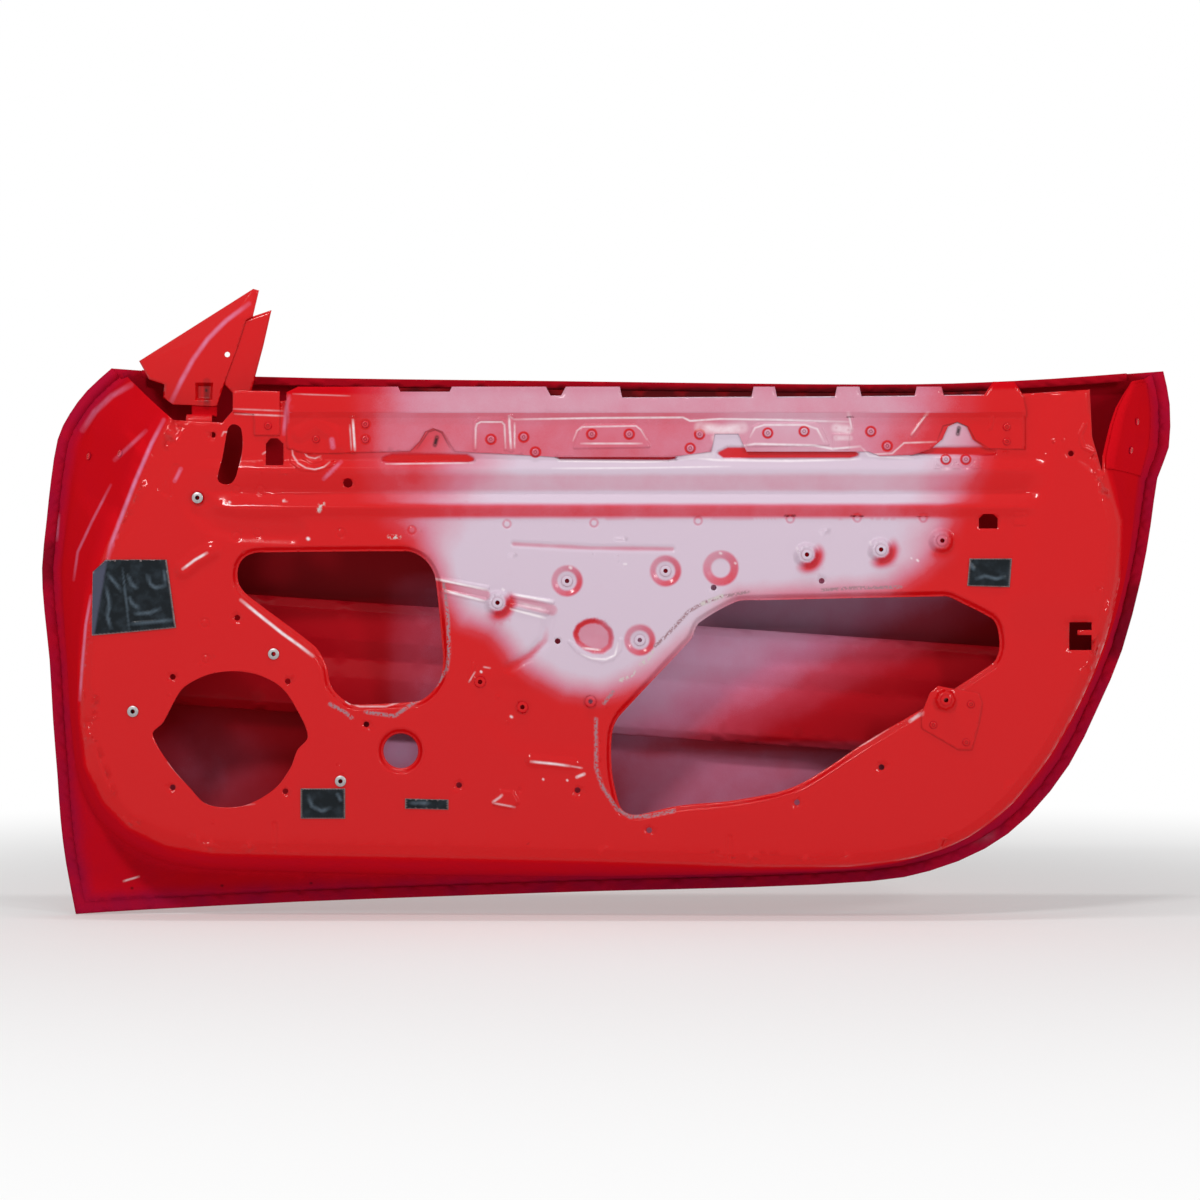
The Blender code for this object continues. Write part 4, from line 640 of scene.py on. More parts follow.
def bumps(points, table, rim, height):
    """Small round marks, raised in the middle, with a groove round them where a rim is stated."""
    depth = np.zeros(len(points))
    for spot in table:
        away = spot_distance(points, seen(*spot))
        depth += rim * between(away, 0.0028, 0.0045, 0.0045, 0.0072)
        depth -= height * fall(0.0, 0.0030, away)
    return depth


def form_distance(points, kind, table, reach):
    """Distance of each point to a line, or to a filled loop, in which it is zero."""
    away = mark_distance(points, table, reach, kind == "fill")
    return np.where(inside(points, seen_all(table)), 0, away) if kind == "fill" else away


def pressed(points, forms):
    depth = np.zeros(len(points))
    for kind, table, half, fade, drop in forms:
        away = form_distance(points, kind, table, half + fade + 0.001)
        depth += drop * fall(half, half + fade, away)
    return depth


TROUGH_FORMS = tuple(("fill", table, 0.0005, 0.0044, 0.0030) for table in TROUGHS)


def small_forms(points):
    marks = bumps(points, WELDS, 0.0006, 0.0002) + bumps(points, SPECKS, 0.0, 0.0006)
    return marks + pressed(points, FORMS) + pressed(points, TROUGH_FORMS)


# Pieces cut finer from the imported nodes, so each keeps its form
def coordinates(mesh):
    flat = np.empty(len(mesh.vertices) * 3)
    mesh.vertices.foreach_get("co", flat)
    return flat.reshape(-1, 3)


def write_coordinates(mesh, places):
    mesh.vertices.foreach_set("co", np.ascontiguousarray(places).ravel())
    mesh.update()


def pick(piece):
    """Selects one piece and makes it active."""
    bpy.ops.object.select_all(action="DESELECT")
    piece.select_set(True)
    bpy.context.view_layer.objects.active = piece


def merged_copy(node, name):
    """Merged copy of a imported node, selected and active."""
    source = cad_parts[node]
    piece = bpy.data.objects.new(name, source.data.copy())
    scene.collection.objects.link(piece)
    pick(piece)
    bpy.ops.object.mode_set(mode="EDIT")
    bpy.ops.mesh.select_all(action="SELECT")
    bpy.ops.mesh.remove_doubles(threshold=0.00002)
    bpy.ops.object.mode_set(mode="OBJECT")
    return piece


# Shorter edges are left, and others are halved when this much longer than is wanted
SHORTEST_EDGE = 0.0012
HALVED_ABOVE = 1.45


def cut_finer(piece, wanted, rounds):
    """Halves the edges that are longer than is wanted at their middles, round after round."""
    bpy.ops.object.mode_set(mode="EDIT")
    bpy.ops.mesh.select_mode(type="EDGE")
    for turn in range(rounds):
        bpy.ops.mesh.select_all(action="DESELECT")
        mesh = bmesh.from_edit_mesh(piece.data)
        ends = np.array([(*e.verts[0].co, *e.verts[1].co) for e in mesh.edges])
        middles = (ends[:, :3] + ends[:, 3:]) / 2
        lengths = np.linalg.norm(ends[:, :3] - ends[:, 3:], axis=1)
        chosen = lengths > SHORTEST_EDGE
        chosen[chosen] = lengths[chosen] > HALVED_ABOVE * wanted(middles[chosen])
        if not chosen.any():
            break
        for edge, pick in zip(mesh.edges, chosen):
            if pick:
                edge.select = True
        bmesh.update_edit_mesh(piece.data)
        bpy.ops.mesh.subdivide(number_cuts=1)
        bpy.ops.mesh.select_all(action="SELECT")
        bpy.ops.mesh.quads_convert_to_tris(quad_method="SHORTEST_DIAGONAL")
    bpy.ops.object.mode_set(mode="OBJECT")


def store(piece, name, values):
    """Writes a value for each vertex, over what an attribute holds already."""
    layers = piece.data.attributes
    layer = layers.get(name) or layers.new(name, "FLOAT", "POINT")
    layer.data.foreach_set("value", np.asarray(values).astype(np.float32))


def stored(piece, name):
    values = np.empty(len(piece.data.vertices), np.float32)
    piece.data.attributes[name].data.foreach_get("value", values)
    return values


def paint(piece, name, values):
    store(piece, name, np.clip(values, 0, 1))


def close_smooth(piece, angle):
    pick(piece)
    bpy.ops.object.shade_smooth_by_angle(angle=math.radians(angle))


def settle(piece, material, node):
    piece.data.materials.clear()
    piece.data.materials.append(material)
    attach(piece, "root")
    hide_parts(node)


RIVET_SPOTS = []
for node in sorted(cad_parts):
    if node.startswith(("belt_rivet", "panel_rivet")):
        low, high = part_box(node)
        RIVET_SPOTS.append(Vector(((low.x + high.x) / 2, (low.z + high.z) / 2)))

# Edge of the pale overspray in the photograph
PALE = (
    (372, 380), (986, 380), (1000, 440), (985, 500), (962, 520), (950, 556), (925, 575), (890, 592),
    (740, 602), (700, 640), (655, 675), (622, 690), (600, 697), (565, 692), (535, 676), (512, 658),
    (490, 632), (462, 622), (446, 600), (432, 566), (415, 540), (385, 525), (362, 500), (352, 440),
)
# Soft windows in the photograph's pixels: where they start, are full, stop being full and end
SWAGE_SHADE = (501, 507, 515, 521)
STEP_SHADE = (470, 478, 488, 494)
BELT_ABOVE = (330, 440, 880, 1010)
BELT_BELOW = (340, 400, 840, 1000)
FRONT_INSIDE = (372, 430, 440, 480)
SEEN_INSIDE = (565, 590, 835, 850)
GAP_ACROSS = (288, 300, 985, 1000)
GAP_DOWN = (385.5, 389.0, 412, 420)
BELT_STEP = 413
# Thin overspray: the strips beside the stepped ridges, and the fold next to them
THIN_STRIPS = (((440, 585), (485, 595)), ((514, 600), (552, 610)))
FOLD = ((548, 622), (545, 640), (530, 655), (508, 668))


def photo_place(places):
    """Place in the photograph's pixels of each point."""
    px = MIDDLE_PIXEL + (places[:, 0] - CENTRE_X) / PIXEL
    return px, MIDDLE_PIXEL - (places[:, 2] - CENTRE_Z) / PIXEL


def as_seen(places):
    """Place on the door's inner face that lies in the camera's line to each point."""
    nearer = VIEW_DISTANCE / (VIEW_DISTANCE + places[:, 1] - SHIFT.y)
    return np.column_stack((
        CENTRE_X + (places[:, 0] - CENTRE_X) * nearer, CENTRE_Z + (places[:, 2] - CENTRE_Z) * nearer,
    ))


def seat_haze(flat, place, radius, drop):
    """Share of the overspray round a seat, less in a dish's ring and in a boss's lee."""
    centre = shared((place,))[0]
    away = spot_distance(flat, centre)
    lean = (flat[:, 0] - centre.x - flat[:, 1] + centre.y) / np.maximum(away, 1e-6) / 1.41
    if drop > 0:
        ring = between(away, 0.0090, 0.0125, radius - 0.0015, radius + 0.0020)
        return 1 - (0.40 + 0.30 * (0.5 + 0.5 * lean)) * ring
    if drop < 0:
        return 1 - 0.80 * between(away, 0.0070, 0.0105, radius, radius + 0.010) * blend(-0.3, 0.8, lean)
    return 1


def haze_at(places):
    """How much dry overspray lies at each place of the face."""
    px, pz = photo_place(places)
    flat = places[:, [0, 2]]
    pale = seen_all(PALE)
    haze = blend(-0.022, 0.032, run_distance(flat, pale, True) * np.where(inside(flat, pale), 1, -1))
    haze = haze * (0.25 + 0.75 * blend(370, 520, px + 0.7 * (pz - 500)))
    haze = haze * fall(900, 1030, px + 0.35 * (pz - 470))
    haze = haze * (1 - 0.70 * between(pz, *SWAGE_SHADE) * (px < 1010))
    haze = haze * (1 - 0.25 * between(pz, *STEP_SHADE))
    groove = mark_distance(flat, LONG_GROOVE, 0.01)
    haze = haze * (1 - 0.35 * fall(0.0005, 0.0040, groove))
    for place, (radius, drop) in SEATS:
        haze = haze * seat_haze(flat, place, radius, drop)
    for table in TROUGHS:
        haze = haze * (1 - 0.88 * fall(0.0004, 0.0036, form_distance(flat, "fill", table, 0.01)))
    away = form_distance(flat, "fill", WIDE_DISH, 0.015)
    haze = haze * (1 - 0.40 * fall(0.0050, 0.0100, away))
    start = seen(*WIDE_DISH[0])
    upper_left = blend(-0.020, 0.012, (flat[:, 1] - start.y) - (flat[:, 0] - start.x))
    haze = haze * (1 - (0.45 + 0.35 * upper_left) * between(away, 0.0022, 0.0042, 0.0078, 0.0106))
    for spot in WELDS:
        away = spot_distance(flat, seen(*spot))
        haze = haze * (1 - 0.32 * between(away, 0.0022, 0.0036, 0.0046, 0.0064))
    for strip in THIN_STRIPS:
        away = mark_distance(flat, strip, 0.02)
        haze = haze * (1 - 0.34 * fall(0.0040, 0.0085, away))
    fold = mark_distance(flat, FOLD, 0.01)
    haze = haze * (1 - 0.55 * blend(618, 655, pz) * fall(0.0005, 0.0060, fold))
    return np.clip(ringed(flat, haze), 0, 1)


def ringed(flat, haze):
    """Overspray with the red rings round the rivet heads."""
    for spot in RIVET_SPOTS:
        away = spot_distance(flat, spot)
        haze = haze * (1 - 0.80 * between(away, 0.0034, 0.0044, 0.0056, 0.0072))
    return haze


def belt_haze_at(places):
    """Overspray on the belt reinforcement: pale above its step and pink below it, with a painted highlight in
    the middle of the lower strip.
    """
    px, pz = photo_place(places)
    above = 0.62 * between(px, *BELT_ABOVE)
    below = 0.40 * between(px, *BELT_BELOW)
    # Painted highlight: a paler patch where the lamps glare on the lower strip
    pale = np.exp(-((px - 800) / 90) ** 2) * 0.30
    return np.clip(ringed(places[:, [0, 2]], np.where(pz < BELT_STEP, above, below + pale)), 0, 1)


def seen_place(places):
    """Pixel of the photograph in which each point is seen."""
    lined_up = as_seen(places)
    return photo_place(lined_up[:, [0, 0, 1]])


def glow(px, pz, middle, wide, tall):
    """Soft spot round a pixel of the photograph."""
    return np.exp(-((px - middle[0]) / wide) ** 2 - ((pz - middle[1]) / tall) ** 2)


ROUND_HOLE_PIXEL = (400, 751)


def inside_haze_at(places):
    """Overspray on the beam and inside the skin, as far as it is seen through the openings, with painted
    light on the strip below the beam.
    """
    px, pz = seen_place(places)
    beam = blend(500, 620, px) * fall(0.30, 1.10, (px - 620) / 330 + (pz - 650) / 170)
    front = 0.40 * between(px, *FRONT_INSIDE)
    # Overspray below the beam, painted paler still as the light that falls on that strip
    low = 0.60 * blend(560, 640, px) * blend(735, 760, pz)
    foot = 0.42 * glow(px, pz, (205, 775), 60, 45)
    spot = glow(px, pz, ROUND_HOLE_PIXEL, 30, 30)
    shown = between(pz, *SEEN_INSIDE) * fall(985, 1005, px)
    return shown * np.clip(np.maximum.reduce([beam * 0.85, front, low, foot, spot]), 0, 1)


def marks_at(flat, table):
    """Soft strokes along each run of a table."""
    marks = np.zeros(len(flat))
    for run, half, strength in table:
        line = seen_all(run)
        away = run_distance(flat, line, False, 0.02)
        length = sum((b - a).length for a, b in zip(line, line[1:]))
        stroke = strength * fall(0.15 * half * PIXEL, (half + 0.9) * PIXEL, away)
        if length > 0.006:
            tip = np.minimum(spot_distance(flat, line[0]), spot_distance(flat, line[-1]))
            stroke = stroke * blend(-0.12 * length, 0.22 * length, tip)
        marks = np.maximum(marks, stroke)
    return marks


def rim_at(flat):
    """How crimson the paint is off the face, most at the hem."""
    hem = run_distance(flat, HEM, False)
    foot_side = blend(-0.55, -0.10, -(flat[:, 1] - SHIFT.z) / HEIGHT)
    rim = 0.62 * fall(0.012, 0.030, hem) + 0.12 + 0.16 * foot_side
    edge = run_distance(flat, FACE, True, 0.03)
    return rim * blend(0.0005, 0.0120, np.where(inside(flat, FACE), -edge, edge))


def trace_at(flat, tables, width):
    """Soft run of sealer or of chips along each line."""
    trace = np.zeros(len(flat))
    for table in tables:
        away = mark_distance(flat, table, 0.01)
        trace = np.maximum(trace, 1 - blend(0.0008, width, away))
    return trace


def unhazed(places):
    return np.zeros(len(places))


def face_paint(piece, haze=haze_at, panel=False, shines=SHINES):
    """Overspray, sheen and glints, painted shade in holes wherever glints are given, and on the panel crimson
    rims, sealer and chips as well.
    """
    places = coordinates(piece.data)
    flat = places[:, [0, 2]]
    paint(piece, "haze", haze(places))
    lined_up = as_seen(places)
    paint(piece, "gleam", 0.85 * marks_at(lined_up, GLEAMS))
    paint(piece, "shine", marks_at(lined_up, shines))
    paint(piece, "rim", rim_at(flat) if panel else unhazed(places))
    paint(piece, "sealer", trace_at(flat, SEALER_RUNS, 0.0030) if panel else unhazed(places))
    paint(piece, "chip", trace_at(flat, CHIPS, 0.0034) if panel else unhazed(places))
    # Painted shade of the holes
    if shines:
        paint(piece, "painted_shade", marks_at(lined_up, SHADE_MARKS))


# The panel's longest edges, also on its bends and rows, and how much longer they are on its back
COARSE = 0.0075
BENT = 0.0045
BEND_BAND = 0.013
BACK_GROWTH = 2.4


def panel_size(middles):
    """Wanted length of the edges, fine at each form and mark, and coarser on the face's back."""
    points = middles[:, [0, 2]]
    face = inside(points, FACE)
    height = (points[:, 1] - SHIFT.z) / HEIGHT
    size = np.where(face & (height > 0.70) & (height < 0.86), BENT, COARSE)
    size[run_distance(points, CORNER, False) < BEND_BAND] = BENT
    for loop in OPENINGS:
        size = graded(size, run_distance(points, loop, True, 0.02), 0.0021, 0.0085)
    size = graded(size, run_distance(points, FRONT_SLOT, True, 0.02), 0.0014, 0.0040)
    for kind, table, half, fade, drop in FORMS + TROUGH_FORMS:
        reach = half + fade + 0.0010
        away = mark_distance(points, table, reach + GRADED_BAND, kind == "fill")
        size = graded(size, away, max(0.0010, fade * 0.30), reach)
    for table in SEALER_RUNS + CHIPS:
        size = graded(size, mark_distance(points, table, 0.02), 0.0016, 0.0036)
    size = graded_marks(size, as_seen(middles), GLEAMS, SHINES, SHADE_MARKS)
    for spot in seen_all(WELDS + SPECKS) + RIVET_SPOTS:
        size = graded(size, spot_distance(points, spot), 0.0010, 0.0076)
    for place, (radius, drop) in SEATS:
        away = spot_distance(points, shared((place,))[0])
        size = graded(size, away, 0.0015 if drop else 0.0035, radius + 0.003)
    back = middles[:, 1] > SHIFT.y + relief(points, 0) + 0.0006
    return np.where(back & face, np.maximum(size * BACK_GROWTH, BENT), size)


def inner_panel():
    """The panel cut finer, with its presses rounded and its small forms added."""
    piece = merged_copy("inner_panel", "pressed_inner_panel")
    places = coordinates(piece.data)
    flat = places[:, [0, 2]]
    on_face = inside(flat, FACE) & (run_distance(flat, CORNER, False) > 0.0005)
    store(piece, "offset", places[:, 1] - SHIFT.y - relief(flat, 0))
    store(piece, "face", on_face | (run_distance(flat, FACE, True) < 0.0015))
    cut_finer(piece, panel_size, 8)
    places = coordinates(piece.data)
    flat = places[:, [0, 2]]
    chosen = inside(flat, FACE) & (stored(piece, "face") > 0.99)
    depth = SHIFT.y + relief(flat, 0.004) + stored(piece, "offset") + small_forms(flat)
    places[chosen, 1] = depth[chosen]
    for loop in OPENINGS:
        places[:, [0, 2]] += curve_shift(flat, loop, 0.011)
    places[:, [0, 2]] += curve_shift(flat, FRONT_SLOT, 0.004)
    write_coordinates(piece.data, places)
    round_bends(piece, BEND_BAND)
    face_paint(piece, panel=True)
    close_smooth(piece, 55)
    settle(piece, panel_paint, "inner_panel")


def round_bends(piece, band):
    """Rounds the bends of the walls and the corner, and leaves the sheet's cut edges as they are."""
    bpy.ops.object.mode_set(mode="EDIT")
    bpy.ops.mesh.select_mode(type="VERT")
    bpy.ops.mesh.select_all(action="DESELECT")
    mesh = bmesh.from_edit_mesh(piece.data)
    mesh.verts.ensure_lookup_table()
    flat = np.array([(v.co.x, v.co.z) for v in mesh.verts])
    free = ~inside(flat, FACE) | (run_distance(flat, CORNER, False) < band)
    for edge in mesh.edges:
        if edge.calc_length() < 0.0016:
            free[edge.verts[0].index] = free[edge.verts[1].index] = False
    for vert, pick in zip(mesh.verts, free):
        vert.select = bool(pick)
    mesh.select_flush_mode()
    bmesh.update_edit_mesh(piece.data)
    bpy.ops.mesh.vertices_smooth(factor=0.5, repeat=4)
    bpy.ops.object.mode_set(mode="OBJECT")


inner_panel()


def simple_piece(node, name, size, material=panel_paint, angle=40, rounds=4, haze=haze_at,
                 shape=None, panel=False, shines=SHINES):
    """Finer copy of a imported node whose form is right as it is, but for small pressed forms."""
    piece = merged_copy(node, name)
    wanted = size if callable(size) else lambda middles: np.full(len(middles), size)
    cut_finer(piece, wanted, rounds)
    if shape:
        places = coordinates(piece.data)
        places[:, 1] += shape(places[:, [0, 2]])
        write_coordinates(piece.data, places)
    face_paint(piece, haze, panel, shines)
    close_smooth(piece, angle)
    settle(piece, material, node)
    return piece


def facing(piece):
    """Whether each vertex faces into the car or sideways."""
    return np.array([vert.normal.y < 0.2 for vert in piece.data.vertices])


# The outer skin: dull inside, glossy outside and on its folded hem, where no mark of the inside shows
skin = simple_piece("outer_skin", "door_outer_skin", 0.009, inside_paint, haze=inside_haze_at, shines=())
skin.data.materials.append(panel_paint)
centres = np.array([tuple(face.center) for face in skin.data.polygons])
outward = np.array([face.normal.y for face in skin.data.polygons])
at_hem = run_distance(centres[:, [0, 2]], HEM, False) < 0.0145
skin.data.polygons.foreach_set("material_index", ((outward > 0.05) | at_hem).astype(np.int32))
paint(skin, "haze", stored(skin, "haze") * facing(skin))
paint(skin, "rim", rim_at(coordinates(skin.data)[:, [0, 2]]) * facing(skin))


def shade_gap(piece):
    """Painted shade on the unlit sheet that is seen between the tabs of the belt and at the top of the
    openings, and a painted lilac glow where it is seen through the round hole.
    """
    px, pz = seen_place(coordinates(piece.data))
    gap = between(px, *GAP_ACROSS) * between(pz, *GAP_DOWN)
    rear = blend(575, 590, pz) * fall(624, 630, pz - 0.072 * (px - 700)) * blend(690, 720, px)
    front = blend(535, 550, pz) * fall(591, 597, pz - 0.055 * (px - 241)) * fall(440, 460, px)
    unlit = np.maximum.reduce([0.75 * gap, 0.45 * rear, 0.40 * front])
    paint(piece, "painted_shade", unlit * facing(piece))
    # Painted light: a lilac glow on the skin behind the round hole
    paint(piece, "gleam", 0.55 * glow(px, pz, ROUND_HOLE_PIXEL, 22, 22) * facing(piece))


shade_gap(skin)
shade_gap(simple_piece("belt_rail_outer", "belt_rail", 0.012, inside_paint, haze=unhazed, shines=()))
simple_piece("intrusion_beam", "side_beam", 0.012, inside_paint,
             haze=inside_haze_at, shines=())

BELT_FORMS = (
    ("line", ((475, 449), (475, 422), (479, 419), (502, 419), (506, 422), (506, 449)),
     0.0008, 0.0024, -0.0014),
    ("line", ((511, 417), (511, 450)), 0.0012, 0.0030, -0.0018),
    ("fill", ((575, 447), (581, 430), (587, 426), (634, 426), (640, 430), (648, 446)),
     0.0004, 0.0030, -0.0024),
    ("fill", ((748, 445), (754, 428), (760, 424), (814, 424), (820, 428), (827, 444)),
     0.0004, 0.0030, -0.0024),
    ("fill", ((834, 435), (848, 435), (848, 448), (834, 448)), 0.0004, 0.0022, -0.0014),
    ("line", ((850, 418), (851, 429)), 0.0005, 0.0028, -0.0012),
    ("line", ((924, 418), (912, 435)), 0.0005, 0.0028, -0.0012),
    ("line", ((992, 418), (990, 428)), 0.0005, 0.0028, -0.0012),
    ("line", ((353, 418), (353, 451)), 0.0012, 0.0026, -0.0018),
    ("line", ((300, 434), (316, 422), (334, 434), (336, 446)), 0.0030, 0.0090, -0.0016),
)


def belt_shape(points):
    return pressed(points, BELT_FORMS)


def belt_size(middles):
    points = middles[:, [0, 2]]
    size = np.full(len(points), 0.0055)
    for kind, table, half, fade, drop in BELT_FORMS:
        reach = half + fade + 0.001
        away = mark_distance(points, table, reach + GRADED_BAND, kind == "fill")
        size = graded(size, away, 0.0010, reach)
    for spot in RIVET_SPOTS:
        size = graded(size, spot_distance(points, spot), 0.0011, 0.0074)
    return graded_marks(size, points, BELT_SHINES, BELT_SHADE_MARKS)


simple_piece("belt_reinforcement", "belt_plate", belt_size, rounds=7,
             haze=belt_haze_at, shape=belt_shape, panel=True, shines=BELT_SHINES)


def bracket_size(middles):
    return graded_marks(np.full(len(middles), PLAIN_SIZE), middles[:, [0, 2]], SHINES)


def sail_size(middles):
    size = np.full(len(middles), PLAIN_SIZE)
    return graded_marks(size, as_seen(middles), UPPER_GLEAMS, MIRROR_SHADE_MARKS)


PLAIN_SIZE = 0.004
simple_piece("belt_front_bracket", "front_bracket", bracket_size, rounds=6)
simple_piece("pull_handle_bracket", "handle_plate", PLAIN_SIZE)
simple_piece("mirror_sail_front", "mirror_plate_front", sail_size, rounds=7)
simple_piece("mirror_sail_rear", "mirror_plate_rear", PLAIN_SIZE)
simple_piece("mirror_sail_foot", "mirror_foot", PLAIN_SIZE, panel=True)
simple_piece("rear_corner_plate", "rear_plate", 0.006, panel=True)
for name in ("hinge_plate_upper", "hinge_plate_lower", "latch_plate"):
    simple_piece(name, name + "_backing", 0.015)


# Tape: creased patches, the hinge one in two strips with a dull fold at its front
TAPE_SEAM = ((123, 568), (130, 632))
TAPE_CREASES = (
    ((108, 574), (115, 582), (121, 590)), ((107, 588), (110, 604), (108, 616), (111, 628)),
    ((129, 576), (132, 584), (137, 588)), ((148, 576), (151, 584), (156, 588), (165, 586)),
    ((130, 598), (133, 604), (139, 608)),
    ((133, 624), (174, 620)), ((136, 614), (150, 613), (160, 609)), ((165, 572), (166, 582)),
    ((309, 796), (312, 806), (322, 811), (330, 808)), ((338, 794), (341, 800)),
    ((976, 579), (984, 576), (996, 579), (1003, 577)), ((970, 564), (973, 569)), ((412, 803), (428, 803)),
)


def tape_shape(points):
    crease = np.zeros(len(points))
    for table in TAPE_CREASES:
        crease -= 0.0012 * fall(0.0, 0.0042, mark_distance(points, table, 0.01))
    crumple = np.array([noise.noise(Vector((x * 70, z * 46, 0.3))) for x, z in points])
    across = points[:, 0] - seen(*TAPE_SEAM[0]).x - (seen(*TAPE_SEAM[0]).y - points[:, 1]) * 0.11
    step = -0.0006 * blend(-0.0006, 0.0006, across) * (points[:, 0] < SHIFT.x + 0.2)
    return crease + step - 0.0005 * np.abs(crumple)


CREASE_SHINES = [(table, 1.8, 0.60) for table in TAPE_CREASES] + [(TAPE_SEAM, 0.6, 0.5)]
for name in ("tape_hinge", "tape_lower", "tape_slot", "tape_rear"):
    patch = simple_piece(name, name + "_patch", 0.0022, black_tape, 50, 7, unhazed, tape_shape)
    places = coordinates(patch.data)
    across, down = photo_place(places)
    paint(patch, "gleam", 0.85 * fall(105, 108, across + 0.17 * (down - 565)))
    paint(patch, "rim", [abs(vert.normal.y) < 0.85 for vert in patch.data.vertices])
    paint(patch, "shine", marks_at(places[:, [0, 2]], CREASE_SHINES))


# Fasteners: each kind is modelled once and copied
def largest_flat(node):
    """Middle and outward direction of a node's largest flat group of faces."""
    groups = {}
    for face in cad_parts[node].data.polygons:
        key = (*(round(c, 2) for c in face.normal), round(face.normal.dot(face.center), 4))
        total, middle = groups.get(key, (0.0, Vector((0, 0, 0))))
        groups[key] = (total + face.area, middle + face.center * face.area)
    key, (total, middle) = max(groups.items(), key=lambda entry: entry[1][0])
    return middle / total, Vector(key[:3]).normalized()


def select_looking(piece, side):
    """Selects the faces that look up, for a side of 1, or down, for -1."""
    mesh = bmesh.from_edit_mesh(piece.data)
    for face in mesh.faces:
        face.select = face.normal.z * side > 0.9
    bmesh.update_edit_mesh(piece.data)


def raise_faces(height):
    bpy.ops.mesh.extrude_region_move(TRANSFORM_OT_translate={"value": (0, 0, height)})


def narrow(share):
    bpy.ops.transform.resize(value=(share, share, 1), center_override=(0, 0, 0))


def turned_start(radius, depth, sides):
    """Upright cylinder in edit mode, with its top selected."""
    bpy.ops.object.select_all(action="DESELECT")
    middle = (0, 0, depth / 2)
    bpy.ops.mesh.primitive_cylinder_add(vertices=sides, radius=radius, depth=depth, location=middle)
    bpy.ops.object.transform_apply(location=True, rotation=True, scale=True)
    bpy.ops.object.mode_set(mode="EDIT")
    bpy.ops.mesh.select_mode(type="FACE")
    bpy.ops.mesh.select_all(action="DESELECT")
    select_looking(bpy.context.object, 1)
    return bpy.context.object


def rivet_model():
    """Domed head with the sunk end of the mandrel in it, over a shank."""
    head = turned_start(0.0042, 0.0006, 20)
    raise_faces(0.0006)
    narrow(0.86)
    raise_faces(0.0004)
    narrow(0.70)
    bpy.ops.mesh.inset(thickness=0.0006)
    raise_faces(-0.0008)
    bpy.ops.mesh.inset(thickness=0.0006)
    raise_faces(0.0005)
    bpy.ops.object.mode_set(mode="OBJECT")
    close_smooth(head, 50)
    return head


def nut_model():
    """Flange and barrel of a rivet nut, with its bore open from end to end."""
    flange = turned_start(0.0062, 0.0010, 24)
    bpy.ops.mesh.inset(thickness=0.0005)
    bpy.ops.transform.translate(value=(0, 0, 0.0003))
    bpy.ops.mesh.inset(thickness=0.0031)
    raise_faces(-0.0005)
    bpy.ops.mesh.delete(type="ONLY_FACE")
    select_looking(flange, -1)
    bpy.ops.mesh.inset(thickness=0.0020)
    raise_faces(-0.0120)
    bpy.ops.mesh.inset(thickness=0.0016)
    bpy.ops.mesh.delete(type="ONLY_FACE")
    bpy.ops.mesh.select_mode(type="EDGE")
    bpy.ops.mesh.select_all(action="DESELECT")
    bpy.ops.mesh.select_non_manifold()
    bpy.ops.mesh.bridge_edge_loops()
    bpy.ops.object.mode_set(mode="OBJECT")
    close_smooth(flange, 45)
    return flange


rivet = rivet_model()
nut = nut_model()


def fasten(model, node, point, axis, material, haze):
    """Copy of a model on a packed fastener's place, with its paint."""
    piece = bpy.data.objects.new(node + "_fitted", model.data.copy())
    scene.collection.objects.link(piece)
    turn = axis.to_track_quat("Z", "Y").to_matrix().to_4x4()
    piece.data.transform(Matrix.Translation(point) @ turn)
    plain = coordinates(model.data)
    radius = np.hypot(plain[:, 0], plain[:, 1])
    near_top = plain[:, 2] < 0.0010
    face_paint(piece, haze, shines=())
    if model == nut:
        # Painted shade in the nut's bore, and crimson painted as shade round the flange's edge
        paint(piece, "painted_shade", (radius < 0.0035) & near_top)
        paint(piece, "rim", 0.5 * (radius > 0.0060))
    else:
        level = haze(np.array([[point.x, 0, point.z]]))[0]
        paint(piece, "haze", np.full(len(plain), level))
        # Painted shade in the sunk end of the mandrel, and crimson painted as shade round the head's edge
        paint(piece, "painted_shade", 0.5 * ((radius < 0.0023) & near_top))
        paint(piece, "rim", 0.6 * (radius > 0.0040))
    settle(piece, material, node)


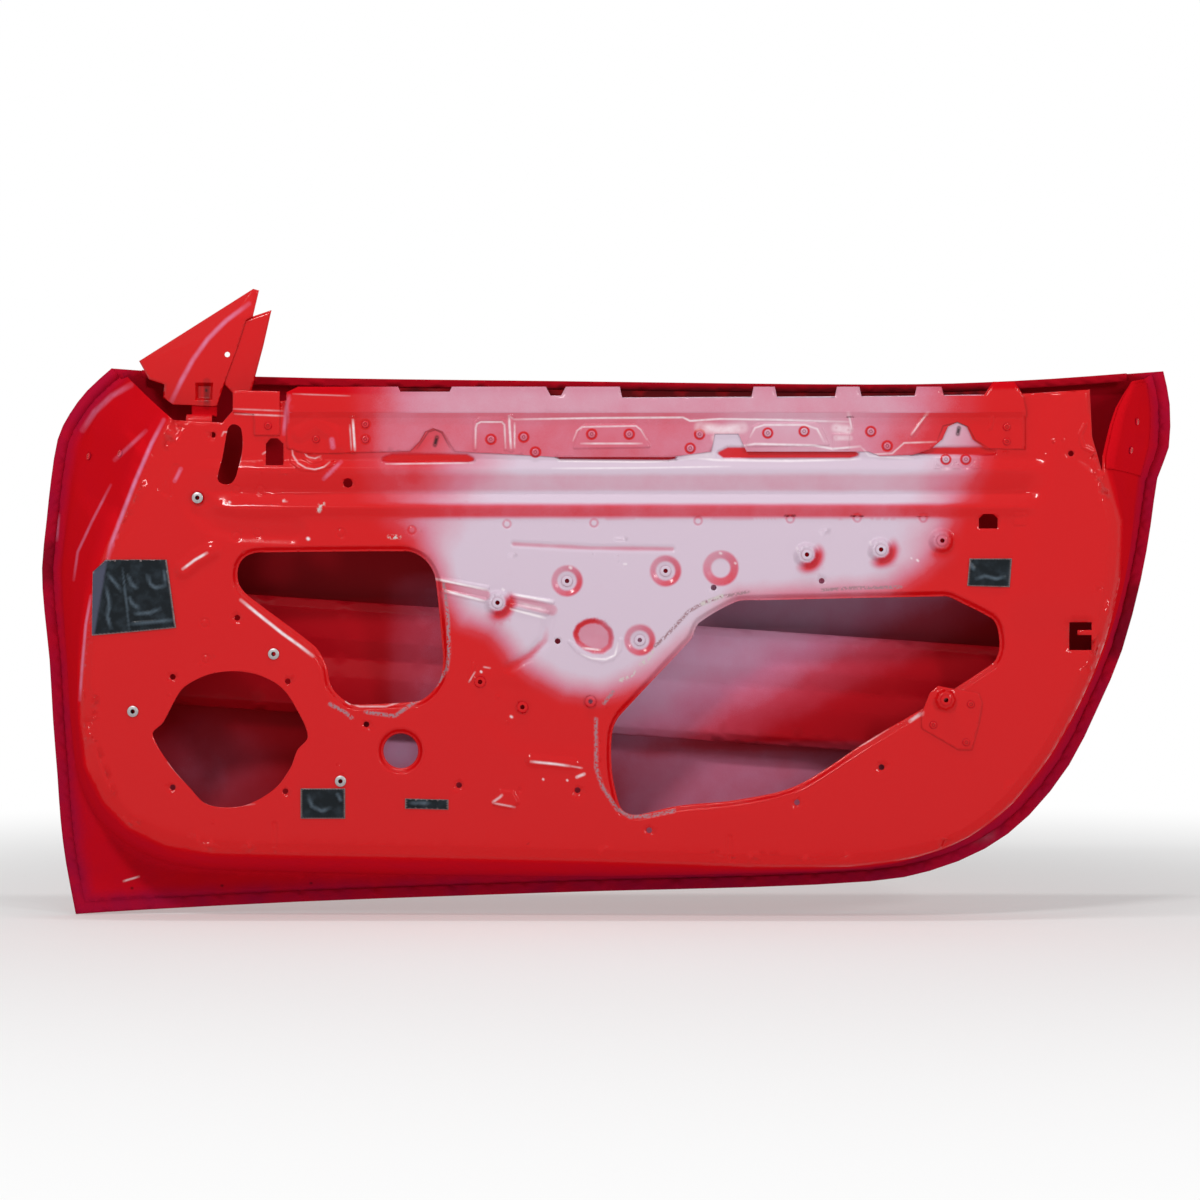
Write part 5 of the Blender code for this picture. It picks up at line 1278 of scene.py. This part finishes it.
INWARD = Vector((0, -1, 0))
BARE_NUTS = ("rivet_nut_01", "rivet_nut_02", "rivet_nut_03", "rivet_nut_04")
for node in sorted(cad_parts):
    low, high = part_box(node)
    if node.startswith("rivet_nut") or node == "handle_nut":
        point = Vector(((low.x + high.x) / 2, low.y + 0.0010, (low.z + high.z) / 2))
        material, haze = (zinc_steel, unhazed) if node in BARE_NUTS else (panel_paint, haze_at)
        fasten(nut, node, point, INWARD, material, haze)
    elif node.startswith(("hinge_rivet", "ear_rivet")):
        middle, outward = largest_flat(node)
        fasten(rivet, node, middle, -outward, panel_paint, unhazed)
    elif "_rivet_" in node:
        shape, haze = (belt_shape, belt_haze_at) if node.startswith("belt") else (small_forms, haze_at)
        spot = np.array([[(low.x + high.x) / 2, (low.z + high.z) / 2]])
        point = Vector((spot[0][0], low.y + 0.0016 + min(0.0, shape(spot)[0]), spot[0][1]))
        fasten(rivet, node, point, INWARD, panel_paint, haze)
bpy.data.objects.remove(rivet)
bpy.data.objects.remove(nut)


# Pale floor that keeps the door's shadow near it, and white surroundings
bpy.ops.object.select_all(action="DESELECT")
bpy.ops.mesh.primitive_plane_add(size=60, location=(CENTRE_X, 0, cad_box[0][2] - 0.0005))
floor = bpy.context.object
floor.name = "studio_floor"
floor_finish, floor_shader, floor_nodes = finish("pale_floor", 0.8, specular=0.2)
floor_shader.inputs["Base Color"].default_value = (0.90, 0.90, 0.90, 1)
place = floor_nodes.add("ShaderNodeTexCoord").outputs["Object"]
away = floor_nodes.add("ShaderNodeVectorMath", {0: place}, operation="LENGTH").outputs["Value"]
white = floor_nodes.add("ShaderNodeEmission", {"Strength": 1.0}).outputs["Emission"]
share = floor_nodes.plus(0.25, floor_nodes.times(floor_nodes.rise(away, 0.6, 2.0), 0.75))
both = floor_nodes.add("ShaderNodeMixShader", {0: share, 1: floor_shader.outputs[0], 2: white})
floor_nodes.put(both.outputs[0], floor_finish.node_tree.nodes["Material Output"].inputs["Surface"])
floor.data.materials.append(floor_finish)

surroundings = bpy.data.worlds.new("surroundings")
surroundings.use_nodes = True
scene.world = surroundings
sky = Nodes(surroundings.node_tree)
rays = sky.add("ShaderNodeLightPath").outputs
bright = sky.math("MAXIMUM", rays["Is Camera Ray"], rays["Is Glossy Ray"])
bright = sky.math("MAXIMUM", bright, rays["Is Transmission Ray"])
background = surroundings.node_tree.nodes["Background"]
sky.put(sky.plus(0.33, sky.times(bright, 0.67)), background.inputs["Strength"])
background.inputs["Color"].default_value = (1, 1, 1, 1)
